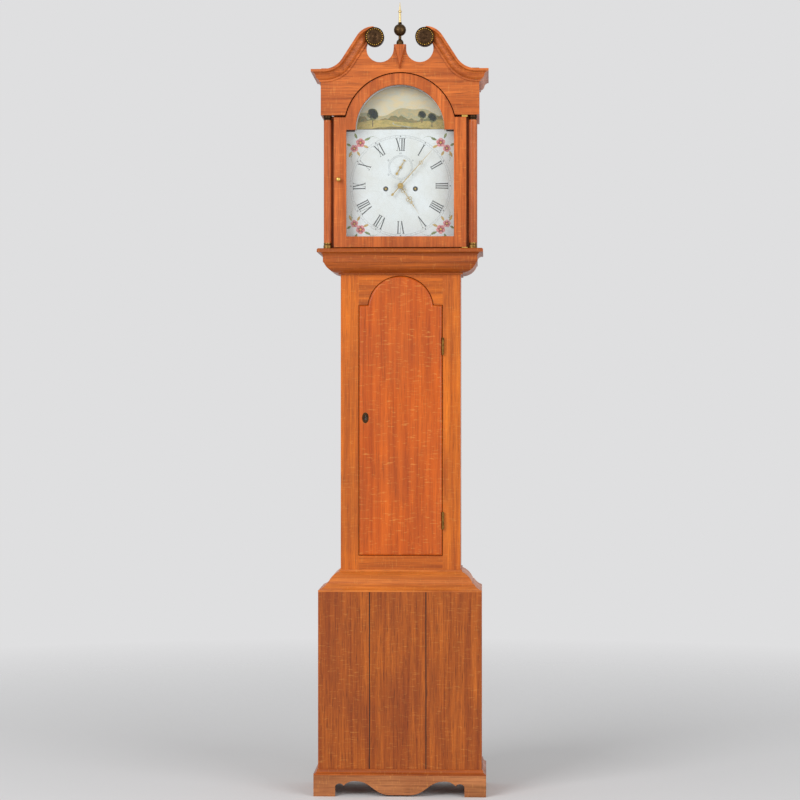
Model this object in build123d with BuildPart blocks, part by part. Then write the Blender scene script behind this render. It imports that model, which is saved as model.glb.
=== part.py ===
from build123d import *
from math import atan2, cos, degrees, hypot, pi, radians, sin, sqrt
import os

# Longcase clock of oak with a painted arch dial, an eight-day two-train movement,
# a sliding hood and two hinged doors.
# Millimetres. X runs to the viewer's right, the front faces -Y, Z is up.
# The origin is at the middle of the clock's footprint, on the floor.

# Case sizes
trunk_width = 336.0
trunk_depth = 180.0
trunk_height = 827.0
base_width = 455.0
base_height = 492.0
plinth_height = 59.0
plinth_moulding_height = 16.0
plinth_reach = 12.0
foot_width = 60.0
board = 14.0
front_board = 20.0
back_board = 12.0
base_cap_height = 58.0
throat_height = 37.0
throat_reach = 47.0
stile_width = 50.0
bottom_rail_height = 39.0
base_board_joints = (0.3154, 0.6593)  # places of the two joints across the base, as shares of its width

# Trunk door
door_shoulder_drop = 85.0
door_arch_radius = 91.5
door_arch_drop = 96.0
door_proud = 7.0
door_thickness = 22.0
door_gap = 1.6
door_lip_radius = 6.0

# Hood sizes
hood_frame_height = 33.5
hood_frame_reach = 63.0
hood_side_reach = 46.0
hood_frieze_reach = 52.5
hood_opening_height = 371.0
hood_frieze_height = 125.0
cornice_height = 33.0
cornice_reach = 26.0
fascia_thickness = 20.0
column_radius = 10.6
column_brass = 11.8
reed_count = 14
reed_radius = 1.3
column_inset = 18.0
column_base_height = 16.0
column_cap_height = 13.0

# Hood door
hood_door_width = 369.0
hood_door_stile = 34.5
hood_door_rail = 30.0
hood_door_thickness = 20.0
hood_door_recess = 6.0
hood_door_foot_gap = 3.5
hood_door_head_gap = 6.0
hood_arch_gap = 2.5
glass_thickness = 2.5
glass_rebate = 5.0

# Swan neck pediment
neck_rise = 117.5
neck_inner = 72.0
neck_outer = 212.0
neck_slope = 57.0
rosette_radius = 26.4
rosette_x = 69.6
scoop_x = 55.3
scoop_radius = 38.0
block_half_width = 17.0
ball_radius = 17.0
finial_height = 117.0

# Dial and hands
dial_size = 305.0
dial_thickness = 1.6
dial_arch_radius = 128.0
dial_to_glass = 27.0
dial_centre_above_rail = 144.0
seconds_rise = 52.0
winding_x = 41.5
winding_drop = 8.0
minute_hand_length = 142.0
minute_hand_angle = 41.6
hour_hand_length = 97.0
hour_hand_angle = 147.0
seconds_hand_length = 27.0
seconds_hand_angle = 30.0
hand_thickness = 0.8

# Movement
plate_half_width = 75.0
plate_thickness = 3.0
plate_gap = 55.0
plate_below = 88.0
plate_above = 97.0
dial_to_plate = 35.0
seatboard_thickness = 16.0
seatboard_depth = 92.0
barrel_radius = 22.0
barrel_length = 33.0
arbor_radius = 2.5
pivot_radius = 1.2
wheel_thickness = 2.0
pinion_length = 6.0

# Gear trains: teeth and modules
great_teeth = 96
centre_pinion = 8
centre_teeth = 60
third_pinion = 8
third_teeth = 56
escape_pinion = 7
escape_teeth = 30
motion_teeth = 36
minute_pinion = 6
hour_teeth = 72
pin_pinion = 8
pin_teeth = 64
warning_pinion = 8
warning_teeth = 50
fly_pinion = 7
train_module = 0.9
strike_module = 0.7
warning_module = 0.6
motion_module = 0.65
escape_radius = 22.0

# Pendulum, lines and weights
pendulum_length = 994.0
hour_pipe = 4.2
bob_radius = 55.0
bob_thickness = 26.0
bob_edge = 1.5
bob_crown = 130.0
rod_radius = 2.2
pulley_radius = 21.0
pulley_thickness = 7.0
line_radius = 0.75
weight_radius = 32.0
weight_height = 185.0
wound_drop = 60.0

# Clearances
fit = 0.05
clear = 0.3
slide_clear = 1.5

os.makedirs("parts", exist_ok=True)

# Heights of the main levels
base_bottom = plinth_height + plinth_moulding_height
base_top = base_bottom + base_height
trunk_bottom = base_top + base_cap_height
trunk_top = trunk_bottom + trunk_height
hood_bottom = trunk_top + throat_height
rail_top = hood_bottom + hood_frame_height
fascia_bottom = rail_top + hood_opening_height
fascia_top = fascia_bottom + hood_frieze_height
neck_top = fascia_top + neck_rise
block_top = fascia_top + 71.5

# Planes across the depth, from the overall depth
total_depth = trunk_depth + hood_frieze_reach + cornice_reach
y_back = total_depth / 2
y_board = y_back - back_board
y_trunk = y_back - trunk_depth
base_reach = (base_width - trunk_width) / 2
y_base = y_trunk - base_reach
y_fascia = y_trunk - hood_frieze_reach
y_hood_door = y_fascia + hood_door_recess
y_hood_door_back = y_hood_door + hood_door_thickness
y_glass = y_hood_door_back - glass_rebate
y_dial = y_glass + glass_thickness + dial_to_glass
y_plate = y_dial + dial_thickness + dial_to_plate
y_plate_inner = y_plate + plate_thickness
y_back_plate = y_plate_inner + plate_gap
trunk_half = trunk_width / 2
base_half = base_width / 2
frieze_half = trunk_half + hood_frieze_reach
hood_side_half = trunk_half + hood_side_reach

# The dial's middle, and the arbors around it as (x, z)
dial_z = rail_top + hood_door_foot_gap + hood_door_rail + dial_centre_above_rail
centre_at = (0.0, dial_z)
seconds_at = (0.0, dial_z + seconds_rise)
going_at = (winding_x, dial_z - winding_drop)
striking_at = (-winding_x, dial_z - winding_drop)


def save(builder, name):
    builder.part.label = name
    export_step(builder.part, f"parts/{name}.step")


def save_group(pieces, name):
    """Writes pieces that touch as separate solids of one node."""
    group = Compound(label=name, children=pieces)
    export_step(group, f"parts/{name}.step")


def bar(x0, x1, y0, y1, z0, z1, mode=Mode.ADD):
    """A straight board between two corners."""
    with Locations(((x0 + x1) / 2, (y0 + y1) / 2, (z0 + z1) / 2)):
        Box(abs(x1 - x0), abs(y1 - y0), abs(z1 - z0), mode=mode)


def rod(x, z, radius, y0, y1, mode=Mode.ADD):
    """A round bar along the depth, from y0 back to y1."""
    with BuildSketch(Plane.XZ.offset(-y1)) as section:
        with Locations((x, z)):
            Circle(radius)
    extrude(section.sketch, amount=y1 - y0, mode=mode)


def disc(x, z, outer, inner, y0, y1, mode=Mode.ADD):
    """A flat ring across the depth."""
    with BuildSketch(Plane.XZ.offset(-y1)) as section:
        with Locations((x, z)):
            Circle(outer)
            Circle(inner, mode=Mode.SUBTRACT)
    extrude(section.sketch, amount=y1 - y0, mode=mode)


def post(x, y, radius, z0, z1, mode=Mode.ADD):
    """A round upright bar."""
    with BuildSketch(Plane.XY.offset(z0)) as section:
        with Locations((x, y)):
            Circle(radius)
    extrude(section.sketch, amount=z1 - z0, mode=mode)


def moulded_frame(name, half, y_front, z0, outline):
    """A moulding on the front and both sides, in three mitred lengths.

    outline gives the section as a sketch of (reach, height) from the inner bottom corner.
    """
    spare = 80.0
    corner = Plane(origin=(half, y_front, 0), z_dir=(1, 1, 0))
    other = Plane(origin=(-half, y_front, 0), z_dir=(-1, 1, 0))
    with BuildPart() as front:
        section = Plane(origin=(-half - spare, y_front, z0), x_dir=(0, -1, 0), z_dir=(-1, 0, 0))
        with BuildSketch(section):
            add(outline())
        extrude(amount=-2 * (half + spare))
        split(bisect_by=corner, keep=Keep.BOTTOM)
        split(bisect_by=other, keep=Keep.BOTTOM)
    sides = []
    for side, plane in ((1, corner), (-1, other)):
        with BuildPart() as ret:
            section = Plane(origin=(side * half, y_back, z0), x_dir=(side, 0, 0), z_dir=(0, -side, 0))
            with BuildSketch(section):
                add(outline())
            extrude(amount=side * (y_back - y_front + spare))
            split(bisect_by=plane, keep=Keep.TOP)
        sides.append(ret.part)
    save_group([front.part, *sides], name)


def board_piece(*corners):
    """One straight board between two corners."""
    with BuildPart() as piece:
        bar(*corners)
    return piece.part


def board_node(name, *boards):
    """A node of one or more straight boards, each a solid of its own."""
    save_group([board_piece(*corners) for corners in boards], name)


def arched_outline(half, z_low, z_shoulder, radius, z_centre):
    """A rectangle with a round arch on top, as a filled sketch."""
    with BuildSketch() as outline:
        with Locations((0, z_centre)):
            Circle(radius)
        with Locations((0, z_shoulder - radius)):
            Rectangle(4 * radius, 2 * radius, mode=Mode.SUBTRACT)
        with Locations((0, (z_low + z_shoulder) / 2)):
            Rectangle(2 * half, z_shoulder - z_low)
    return outline.sketch


# Bracket plinth with a shaped apron
plinth_half = base_half + plinth_reach
y_plinth = y_base - plinth_reach
foot_inner = plinth_half - foot_width
apron_low = 5.0
apron_high = 43.0
cusp_high = 30.0
with BuildPart() as plinth_front:
    with BuildSketch(Plane.XZ.offset(-y_plinth - board)):
        with Locations((0, plinth_height / 2)):
            Rectangle(2 * plinth_half, plinth_height)
        for side in (1, -1):
            with BuildLine():
                Polyline((0, -1), (0, apron_low), (side * foot_inner * 0.15, apron_low))
                Line((0, -1), (side * foot_inner, -1))
                Line((side * foot_inner, -1), (side * foot_inner, cusp_high - 2))
                ThreePointArc((side * foot_inner, cusp_high - 2), (side * (foot_inner - 9), cusp_high + 6),
                              (side * (foot_inner - 24), cusp_high))
                ThreePointArc((side * (foot_inner - 24), cusp_high), (side * (foot_inner - 38), apron_high - 3),
                              (side * (foot_inner - 57), apron_high))
                Spline((side * (foot_inner - 57), apron_high), (side * foot_inner * 0.4, apron_high * 0.5),
                       (side * foot_inner * 0.15, apron_low), tangents=((-side, 0), (-side, 0)))
            make_face(mode=Mode.SUBTRACT)
    extrude(amount=board)
plinth_sides = [board_piece(side * plinth_half, side * (plinth_half - board),
                            y_plinth + board, y_back, 0, plinth_height) for side in (1, -1)]
save_group([plinth_front.part, *plinth_sides], "plinth_boards")


def plinth_section():
    with BuildSketch() as section:
        with BuildLine():
            Polyline((0, plinth_moulding_height), (0, 0), (plinth_reach, 0), (plinth_reach, 4))
            RadiusArc((plinth_reach, 4), (3, 13), 10)
            Polyline((3, 13), (3, plinth_moulding_height), (0, plinth_moulding_height))
        make_face()
    return section.sketch


moulded_frame("plinth_moulding", base_half, y_base, plinth_height, plinth_section)

# Base box: three upright boards in front, two sides and a floor
edges = [share * base_width - base_half for share in (0, *base_board_joints, 1)]
board_node("base_front_boards", *[(edges[i], edges[i + 1], y_base, y_base + board, plinth_height, base_top)
                                  for i in range(3)])
board_node("base_sides_and_floor", *[(side * base_half, side * (base_half - board), y_base + board, y_board,
                                      plinth_height, base_top) for side in (1, -1)],
           (board - base_half, base_half - board, y_base + board, y_board, base_bottom - board, base_bottom))

# Moulding that steps from the base in to the trunk
cap_step = 22.0
cap_mid = 0.62


def cap_section():
    with BuildSketch() as section:
        with BuildLine():
            Polyline((0, 0), (base_reach, 0), (base_reach, 4))
            RadiusArc((base_reach, 4), (base_reach * cap_mid, cap_step), 40)
            Line((base_reach * cap_mid, cap_step), (base_reach * cap_mid - 3, cap_step))
            RadiusArc((base_reach * cap_mid - 3, cap_step), (4, base_cap_height - 5), -52)
            Polyline((4, base_cap_height - 5), (4, base_cap_height), (0, base_cap_height), (0, 0))
        make_face()
    return section.sketch


moulded_frame("base_cap_moulding", trunk_half, y_trunk, base_top, cap_section)

# Trunk: stiles, rails, sides that run up as cheeks, and the backboard
door_half = trunk_half - stile_width
shoulder_z = trunk_top - door_shoulder_drop
arch_z = trunk_top - door_arch_drop
door_bottom = trunk_bottom + bottom_rail_height
cheek_top = dial_z - plate_below - seatboard_thickness
y_frame_back = y_trunk + front_board
board_node("trunk_stiles", *[(side * door_half, side * trunk_half, y_trunk, y_frame_back,
                              base_top, hood_bottom) for side in (1, -1)])
board_node("trunk_sides", *[(side * trunk_half, side * (trunk_half - board), y_frame_back, y_board,
                             base_top, cheek_top) for side in (1, -1)])
trunk_bottom_rail = board_piece(-door_half, door_half, y_trunk, y_frame_back, base_top, door_bottom)
with BuildPart() as trunk_top_rail:
    with BuildSketch(Plane.XZ.offset(-y_frame_back)):
        with Locations((0, (shoulder_z + hood_bottom) / 2)):
            Rectangle(2 * door_half, hood_bottom - shoulder_z)
        with Locations((0, arch_z)):
            Circle(door_arch_radius + door_gap, mode=Mode.SUBTRACT)
    extrude(amount=front_board)
save_group([trunk_top_rail.part, trunk_bottom_rail], "trunk_rails")
back_top = fascia_top - 2
with BuildPart() as backboard:
    bar(-base_half, base_half, y_board, y_back, plinth_height, base_top)
    bar(-trunk_half, trunk_half, y_board, y_back, base_top, rail_top)
    bar(-(hood_side_half - board - slide_clear), hood_side_half - board - slide_clear, y_board, y_back,
        rail_top, back_top)
save(backboard, "backboard")


def throat_section():
    with BuildSketch() as section:
        with BuildLine():
            Polyline((0, throat_height), (0, 0), (6, 0), (6, 4))
            RadiusArc((6, 4), (throat_reach - 2, throat_height - 4), -44)
            Polyline((throat_reach - 2, throat_height - 4), (throat_reach, throat_height - 4),
                     (throat_reach, throat_height), (0, throat_height))
        make_face()
    return section.sketch


moulded_frame("throat_moulding", trunk_half, y_trunk, trunk_top, throat_section)


def butt_hinge(x, y, length, radius, pin, z, leaf, gap, depth, moving):
    """One half of a butt hinge with an upright pin at (x, y).

    The fixed half has the middle knuckle, the moving half the two outer ones and the pin.
    """
    third = length / 3
    if moving:
        x0 = x - clear - gap
        for low in (z, z + 2 * third):
            post(x, y, radius, low + clear / 2, low + third - clear / 2)
            bar(x0, x0 + leaf, y, y + depth, low + clear / 2, low + third - clear / 2)
        post(x, y, pin, z, z + length)
        bar(x0, x0 + leaf, y + radius + clear, y + depth, z, z + length)
    else:
        x1 = x - clear
        post(x, y, radius, z + third + clear / 2, z + 2 * third - clear / 2)
        bar(x1 - leaf, x1, y, y + depth, z + third + clear / 2, z + 2 * third - clear / 2)
        bar(x1 - leaf, x1, y + radius + clear, y + depth, z, z + length)
        post(x, y, pin + fit, z, z + length, mode=Mode.SUBTRACT)


# Butt hinges of the trunk door
hinge_x = door_half + clear
hinge_y = y_trunk - door_proud + 0.5
hinge_length = 48.0
hinge_radius = 3.2
hinge_pin = 1.3
hinge_leaf = 0.6
hinge_levels = (door_bottom + 75, shoulder_z - 140)
for moving, name in ((False, "trunk_hinges_case"), (True, "trunk_hinges_door")):
    with BuildPart() as hinges:
        for z in hinge_levels:
            butt_hinge(hinge_x, hinge_y, hinge_length, hinge_radius, hinge_pin, z, hinge_leaf,
                       door_gap, door_thickness - 3, moving)
    save(hinges, name)

# Trunk door with a round moulded edge, lock, bolt and keyhole plate
y_door = y_trunk - door_proud
leaf_half = door_half - door_gap
lock_x = 14 - leaf_half
lock_z = (door_bottom + shoulder_z) / 2 + 35
with BuildPart() as trunk_door:
    with BuildSketch(Plane.XZ.offset(-y_door - door_thickness)):
        add(arched_outline(leaf_half, door_bottom + 1, shoulder_z - 1, door_arch_radius, arch_z))
    extrude(amount=door_thickness)
    fillet(trunk_door.faces().sort_by(Axis.Y)[0].edges(), radius=door_lip_radius)
    with BuildSketch(Plane.XZ.offset(-y_door - door_thickness)):
        with Locations((lock_x + 4, lock_z)):
            SlotOverall(13, 5, rotation=90)
    extrude(amount=door_thickness, mode=Mode.SUBTRACT)
save(trunk_door, "trunk_door")
with BuildPart() as escutcheon:
    with BuildSketch(Plane.XZ.offset(-y_door)):
        with Locations((lock_x + 4, lock_z)):
            Ellipse(9, 15)
            SlotOverall(13, 5, rotation=90, mode=Mode.SUBTRACT)
    extrude(amount=1.2)
save(escutcheon, "keyhole_escutcheon")
y_door_back = y_door + door_thickness
bolt_height = 9.0
lock_depth = 12.0
bolt_y = y_frame_back + 1.5
with BuildPart() as trunk_lock:
    bar(lock_x - 12, lock_x + 46, y_door_back, y_door_back + lock_depth, lock_z - 30, lock_z + 30)
    bar(lock_x - 30, lock_x + 34, bolt_y - clear, bolt_y + 4 + clear, lock_z - bolt_height / 2 - clear,
        lock_z + bolt_height / 2 + clear, mode=Mode.SUBTRACT)
save(trunk_lock, "trunk_lock")
board_node("lock_bolt", (lock_x - 13, lock_x + 24, bolt_y, bolt_y + 4, lock_z - bolt_height / 2,
                         lock_z + bolt_height / 2))

# Hood: moulded base frame, sides, jambs behind the door, frieze and roof
hood_inner = trunk_half + slide_clear
frame_width = hood_frame_reach - slide_clear


def hood_frame_section():
    with BuildSketch() as section:
        with BuildLine():
            Polyline((0, hood_frame_height), (0, 0), (frame_width - 16, 0), (frame_width - 16, 12))
            RadiusArc((frame_width - 16, 12), (frame_width - 5, 23), 12)
            Polyline((frame_width - 5, 23), (frame_width, 23), (frame_width, hood_frame_height - 3),
                     (frame_width - 3, hood_frame_height), (0, hood_frame_height))
        make_face()
    return section.sketch


moulded_frame("hood_base_moulding", hood_inner, y_trunk - slide_clear, hood_bottom, hood_frame_section)
y_jamb = y_hood_door_back + 4
opening_half = hood_door_width / 2 - hood_door_stile
side_inner = hood_side_half - board
board_node("hood_sides_and_jambs", *[(side * hood_side_half, side * side_inner, y_jamb, y_back,
                                      rail_top, fascia_bottom) for side in (1, -1)],
           *[(side * (opening_half + 8), side * side_inner, y_jamb, y_jamb + board,
              rail_top, fascia_bottom) for side in (1, -1)])
y_fascia_back = y_fascia + fascia_thickness
roof_thickness = 8.0
board_node("hood_roof_and_frieze", (-frieze_half, frieze_half, y_fascia_back, y_back,
                                    fascia_top, fascia_top + roof_thickness),
           *[(side * frieze_half, side * (frieze_half - board), y_fascia_back, y_back,
              fascia_bottom, fascia_top) for side in (1, -1)])

# Arched door opening, shared by the fascia and the hood door
hood_arch_radius = 157.5
hood_arch_z = fascia_bottom - 38.5
rosette_z = neck_top - rosette_radius - 2
scoop_z = block_top - 12


def neck_line(z, side=1):
    """Draws the swan neck's top edge from the outer end in, and gives its two end points."""
    slope = radians(neck_slope)
    width = neck_outer - neck_inner
    run = (neck_rise * sin(slope) - width * (1 - cos(slope))) / (sin(slope) ** 2 - cos(slope) * (1 - cos(slope)))
    radii = (width - run * cos(slope)) / sin(slope)
    start = Line((side * (frieze_half + cornice_reach + 4), z), (side * neck_outer, z))
    low = JernArc(start @ 1, start % 1, radii * 0.53, -side * neck_slope)
    middle = Line(low @ 1, low @ 1 + run * (low % 1))
    high = JernArc(middle @ 1, middle % 1, radii * 0.47, side * neck_slope)
    return start @ 0, high @ 1


# Fascia board with the swan neck outline, two scoops and the arch
with BuildPart() as hood_fascia:
    with BuildSketch(Plane.XZ.offset(-y_fascia_back)):
        for side in (1, -1):
            with BuildLine():
                outer_end, inner_end = neck_line(fascia_top, side)
                Polyline(inner_end, (side * neck_inner, scoop_z), (0, scoop_z), (0, fascia_bottom),
                         (side * (frieze_half + cornice_reach + 4), fascia_bottom), outer_end)
            make_face()
        with Locations((rosette_x, rosette_z), (-rosette_x, rosette_z)):
            Circle(rosette_radius - 3)
        with Locations((scoop_x, scoop_z), (-scoop_x, scoop_z)):
            Circle(scoop_radius, mode=Mode.SUBTRACT)
        with Locations((0, (block_top + scoop_z) / 2 - 20)):
            Rectangle(2 * block_half_width, block_top - scoop_z + 40)
        with Locations((0, (fascia_bottom + neck_top) / 2)):
            Rectangle(2 * frieze_half, neck_top - fascia_bottom + 10, mode=Mode.INTERSECT)
        with Locations((0, hood_arch_z)):
            Circle(hood_arch_radius, mode=Mode.SUBTRACT)
    extrude(amount=fascia_thickness)
save(hood_fascia, "hood_fascia")


def cornice_outline():
    with BuildSketch() as section:
        with BuildLine():
            Polyline((0, 0), (0, -cornice_height), (4, -cornice_height), (4, 5 - cornice_height))
            RadiusArc((4, 5 - cornice_height), (14, 17 - cornice_height), -14)
            RadiusArc((14, 17 - cornice_height), (cornice_reach - 3, -7), 14)
            Polyline((cornice_reach - 3, -7), (cornice_reach, -7), (cornice_reach, 0), (0, 0))
        make_face()
    return section.sketch


# Swan necks, mitred to the returns along the sides
mitres = {side: Plane(origin=(side * frieze_half, y_fascia, 0), z_dir=(side, 1, 0)) for side in (1, -1)}
necks = []
for side in (1, -1):
    with BuildPart() as swan_neck:
        with BuildLine(Plane.XZ.offset(-y_fascia)):
            neck_line(fascia_top, side)
        path = swan_neck.pending_edges_as_wire
        start = Vector(side * (frieze_half + cornice_reach + 4), y_fascia, fascia_top)
        with BuildSketch(Plane(origin=start, x_dir=(0, -1, 0), z_dir=(-1, 0, 0))):
            add(cornice_outline())
        sweep(path=path)
        split(bisect_by=mitres[side], keep=Keep.BOTTOM)
        rod(side * rosette_x, rosette_z, rosette_radius + clear, y_fascia - 2 * cornice_reach, y_fascia,
            mode=Mode.SUBTRACT)
    necks.append(swan_neck.part)
returns = []
for side in (1, -1):
    with BuildPart() as ret:
        section = Plane(origin=(side * frieze_half, y_back, fascia_top), x_dir=(side, 0, 0),
                        z_dir=(0, -side, 0))
        with BuildSketch(section):
            add(cornice_outline())
        extrude(amount=side * (y_back - y_fascia + 2 * cornice_reach))
        split(bisect_by=mitres[side], keep=Keep.TOP)
    returns.append(ret.part)
save_group([*necks, *returns], "swan_neck_cornice")


def turned(x, z, y_rear, outline):
    """A turned piece on a level axis; outline gives (radius, distance in front of y_rear)."""
    with BuildSketch(Plane(origin=(x, y_rear, z), x_dir=(1, 0, 0), z_dir=(0, 0, 1))) as section:
        add(outline())
    revolve(section.sketch, axis=Axis((x, y_rear, z), (0, 1, 0)))


def rosette_outline():
    depth = cornice_reach
    with BuildSketch() as section:
        with BuildLine():
            Polyline((0, 0), (rosette_radius, 0), (rosette_radius, -depth + 3))
            RadiusArc((rosette_radius, -depth + 3), (rosette_radius - 6, -depth + 3), -3.1)
            RadiusArc((rosette_radius - 6, -depth + 3), (8, -depth + 2), 22)
            Polyline((8, -depth + 2), (5, -depth + 0.5), (3, -depth), (0, -depth), (0, 0))
        make_face()
    return section.sketch


with BuildPart() as rosettes:
    for side in (1, -1):
        turned(side * rosette_x, rosette_z, y_fascia, rosette_outline)
save(rosettes, "rosettes")

# Wedge-shaped block between the scoops, and the brass finial on it
block_depth = 12.0
with BuildPart() as finial_block:
    with BuildSketch(Plane.XZ.offset(-y_fascia)):
        with BuildLine():
            Polyline((-block_half_width, block_top), (block_half_width, block_top), (0, block_top - 71),
                     (-block_half_width, block_top), close=False)
        make_face()
    extrude(amount=block_depth, taper=12)
save(finial_block, "finial_block")
finial_y = y_fascia + 6


def finial_outline():
    ball_z = 40.0
    neck = 3.6
    with BuildSketch() as section:
        with BuildLine():
            Polyline((0, 0), (10, 0), (10, 3))
            RadiusArc((10, 3), (4, 14), -12)
            Line((4, 14), (4, 40 - sqrt(ball_radius ** 2 - 16)))
            low = (4, 40 - sqrt(ball_radius ** 2 - 16))
            high = (neck, ball_z + sqrt(ball_radius ** 2 - neck ** 2))
            ThreePointArc(low, (ball_radius, ball_z), high)
            Polyline(high, (5.5, 58), (5.5, 60), (neck, 62), (neck - 0.4, 88), (5, 90), (5, 93), (2.6, 95),
                     (0.6, finial_height), (0, finial_height), (0, 0))
        make_face()
    return section.sketch


with BuildPart() as finial:
    with BuildSketch(Plane(origin=(0, finial_y, block_top), x_dir=(1, 0, 0), z_dir=(0, -1, 0))):
        add(finial_outline())
    revolve(axis=Axis((0, finial_y, block_top), (0, 0, 1)))
save(finial, "finial")

# Reeded columns with brass bases and capitals
column_x = frieze_half - column_inset
column_y = y_fascia + column_inset
shaft_low = rail_top + column_base_height
shaft_high = fascia_bottom - column_cap_height
with BuildPart() as hood_columns:
    for side in (1, -1):
        post(side * column_x, column_y, column_radius, shaft_low, shaft_high)
        with BuildSketch(Plane.XY.offset(shaft_low + 6)):
            with Locations((side * column_x, column_y)):
                with PolarLocations(column_radius + 0.4, reed_count):
                    Circle(reed_radius)
        extrude(amount=shaft_high - shaft_low - 12, mode=Mode.SUBTRACT)
save(hood_columns, "hood_columns")


def ring_stack(height):
    """A turned column base or capital as (radius, height), widest at its outer end."""
    with BuildSketch() as section:
        with BuildLine():
            Polyline((0, 0), (column_brass, 0), (column_brass, height * 0.3))
            RadiusArc((column_brass, height * 0.3), (column_brass - 1.6, height * 0.7), -height * 0.5)
            Polyline((column_brass - 1.6, height * 0.7), (column_brass - 0.8, height * 0.8),
                     (column_brass - 0.8, height), (0, height), (0, 0))
        make_face()
    return section.sketch


with BuildPart() as brasses:
    for z0, height, sign in ((rail_top, column_base_height, 1), (fascia_bottom, column_cap_height, -1)):
        for side in (1, -1):
            spot = (side * column_x, column_y, z0)
            with BuildSketch(Plane(origin=spot, x_dir=(1, 0, 0), z_dir=(0, -sign, 0))) as section:
                add(ring_stack(height))
            revolve(section.sketch, axis=Axis(spot, (0, 0, 1)))
save(brasses, "column_brasses")

# Hood door: two stiles, a bottom rail and an arched head in two halves
hood_door_half = hood_door_width / 2
hood_door_low = rail_top + hood_door_foot_gap
hood_door_shoulder = fascia_bottom - hood_door_head_gap
hood_open_low = hood_door_low + hood_door_rail
hood_open_shoulder = hood_door_shoulder - 34.0
hood_open_radius = 124.0
hood_leaf_radius = hood_arch_radius - hood_arch_gap
glass_lip = 6.0
pivot_inset = 3.5
pivot_x = hood_door_half - pivot_inset
pivot_y = y_hood_door + pivot_inset
pivot_pin = 2.0
door_outer = arched_outline(hood_door_half, hood_door_low, hood_door_shoulder, hood_leaf_radius, hood_arch_z)
door_inner = arched_outline(opening_half, hood_open_low, hood_open_shoulder, hood_open_radius, hood_arch_z)
door_glass = arched_outline(opening_half + glass_lip, hood_open_low - glass_lip, hood_open_shoulder + glass_lip,
                            hood_open_radius + glass_lip, hood_arch_z)
door_top = hood_arch_z + hood_leaf_radius
door_parts = (
    (-hood_door_half, -opening_half, hood_door_low, door_top),
    (opening_half, hood_door_half, hood_door_low, door_top),
    (-opening_half, opening_half, hood_door_low, hood_open_low),
    (-opening_half, 0, hood_open_low, door_top),
    (0, opening_half, hood_open_low, door_top),
)
door_pieces = []
for x0, x1, z0, z1 in door_parts:
    with BuildPart() as piece:
        with BuildSketch(Plane.XZ.offset(-y_hood_door_back)):
            add(door_outer)
            add(door_inner, mode=Mode.SUBTRACT)
            with Locations(((x0 + x1) / 2, (z0 + z1) / 2)):
                Rectangle(x1 - x0, z1 - z0, mode=Mode.INTERSECT)
        extrude(amount=hood_door_thickness)
        with BuildSketch(Plane.XZ.offset(-y_hood_door_back)):
            add(door_glass)
        extrude(amount=glass_rebate, mode=Mode.SUBTRACT)
        post(pivot_x, pivot_y, pivot_pin + fit, hood_door_low - 1, hood_door_low + 9, mode=Mode.SUBTRACT)
        post(pivot_x, pivot_y, pivot_pin + fit, hood_door_shoulder - 9, hood_door_shoulder + 1,
             mode=Mode.SUBTRACT)
    door_pieces.append(piece.part)
save_group(door_pieces, "hood_door_frame")
with BuildPart() as hood_door_glass:
    with BuildSketch(Plane.XZ.offset(-y_glass - glass_thickness)):
        add(door_glass)
    extrude(amount=glass_thickness)
save(hood_door_glass, "hood_door_glass")
with BuildPart() as hood_door_pivots:
    bar(pivot_x - 9, pivot_x + 7, pivot_y - 5, pivot_y + 9, rail_top, hood_door_low - clear)
    post(pivot_x, pivot_y, pivot_pin, hood_door_low - clear, hood_door_low + 8)
    bar(pivot_x - 9, pivot_x + 7, pivot_y - 5, pivot_y + 9, hood_door_shoulder + clear, fascia_bottom)
    post(pivot_x, pivot_y, pivot_pin, hood_door_shoulder - 8, hood_door_shoulder + clear)
save(hood_door_pivots, "hood_door_pivots")
knob_x = 13.5 - hood_door_half
knob_z = dial_z + 14


def knob_outline():
    with BuildSketch() as section:
        with BuildLine():
            Polyline((0, 0), (5, 0), (5, -2), (2.6, -4), (2.6, -8))
            ThreePointArc((2.6, -8), (6.2, -12.5), (2, -17))
            Polyline((2, -17), (0, -17), (0, 0))
        make_face()
    return section.sketch


with BuildPart() as hood_door_knob:
    turned(knob_x, knob_z, y_hood_door, knob_outline)
save(hood_door_knob, "hood_door_knob")

# Dial: a painted iron sheet with an arch, on four feet
winding_hole = 5.0
dial_half = dial_size / 2
dial_low = dial_z - dial_half
dial_high = dial_z + dial_half
with BuildPart() as dial:
    with BuildSketch(Plane.XZ.offset(-y_dial - dial_thickness)):
        add(arched_outline(dial_half, dial_low, dial_high, dial_arch_radius, hood_arch_z))
        with Locations(going_at, striking_at):
            Circle(winding_hole, mode=Mode.SUBTRACT)
        with Locations(centre_at):
            Circle(8, mode=Mode.SUBTRACT)
        with Locations(seconds_at):
            Circle(arbor_radius, mode=Mode.SUBTRACT)
    extrude(amount=dial_thickness)
save(dial, "dial")
plate_low = dial_z - plate_below
plate_high = dial_z + plate_above
pillar_inset = 9.0
pillar_spots = [(side * x, z) for side in (-1, 1)
                for x, z in ((plate_half_width / 2, plate_low + pillar_inset),
                             (plate_half_width - pillar_inset, plate_high - pillar_inset))]
with BuildPart() as dial_feet:
    for x, z in pillar_spots:
        rod(x - 6 * x / abs(x), z, 3.0, y_dial + dial_thickness, y_plate)
save(dial_feet, "dial_feet")

# Arbor places of the two trains, each wheel just reaching the next pinion
def meet(a, b, reach_a, reach_b, side):
    """The point at given distances from a and b, on the chosen side of the line between them."""
    gap = hypot(b[0] - a[0], b[1] - a[1])
    along = (reach_a ** 2 - reach_b ** 2 + gap ** 2) / (2 * gap)
    across = sqrt(reach_a ** 2 - along ** 2) * side
    ux = (b[0] - a[0]) / gap
    uz = (b[1] - a[1]) / gap
    return (a[0] + ux * along - uz * across, a[1] + uz * along + ux * across)


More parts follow.
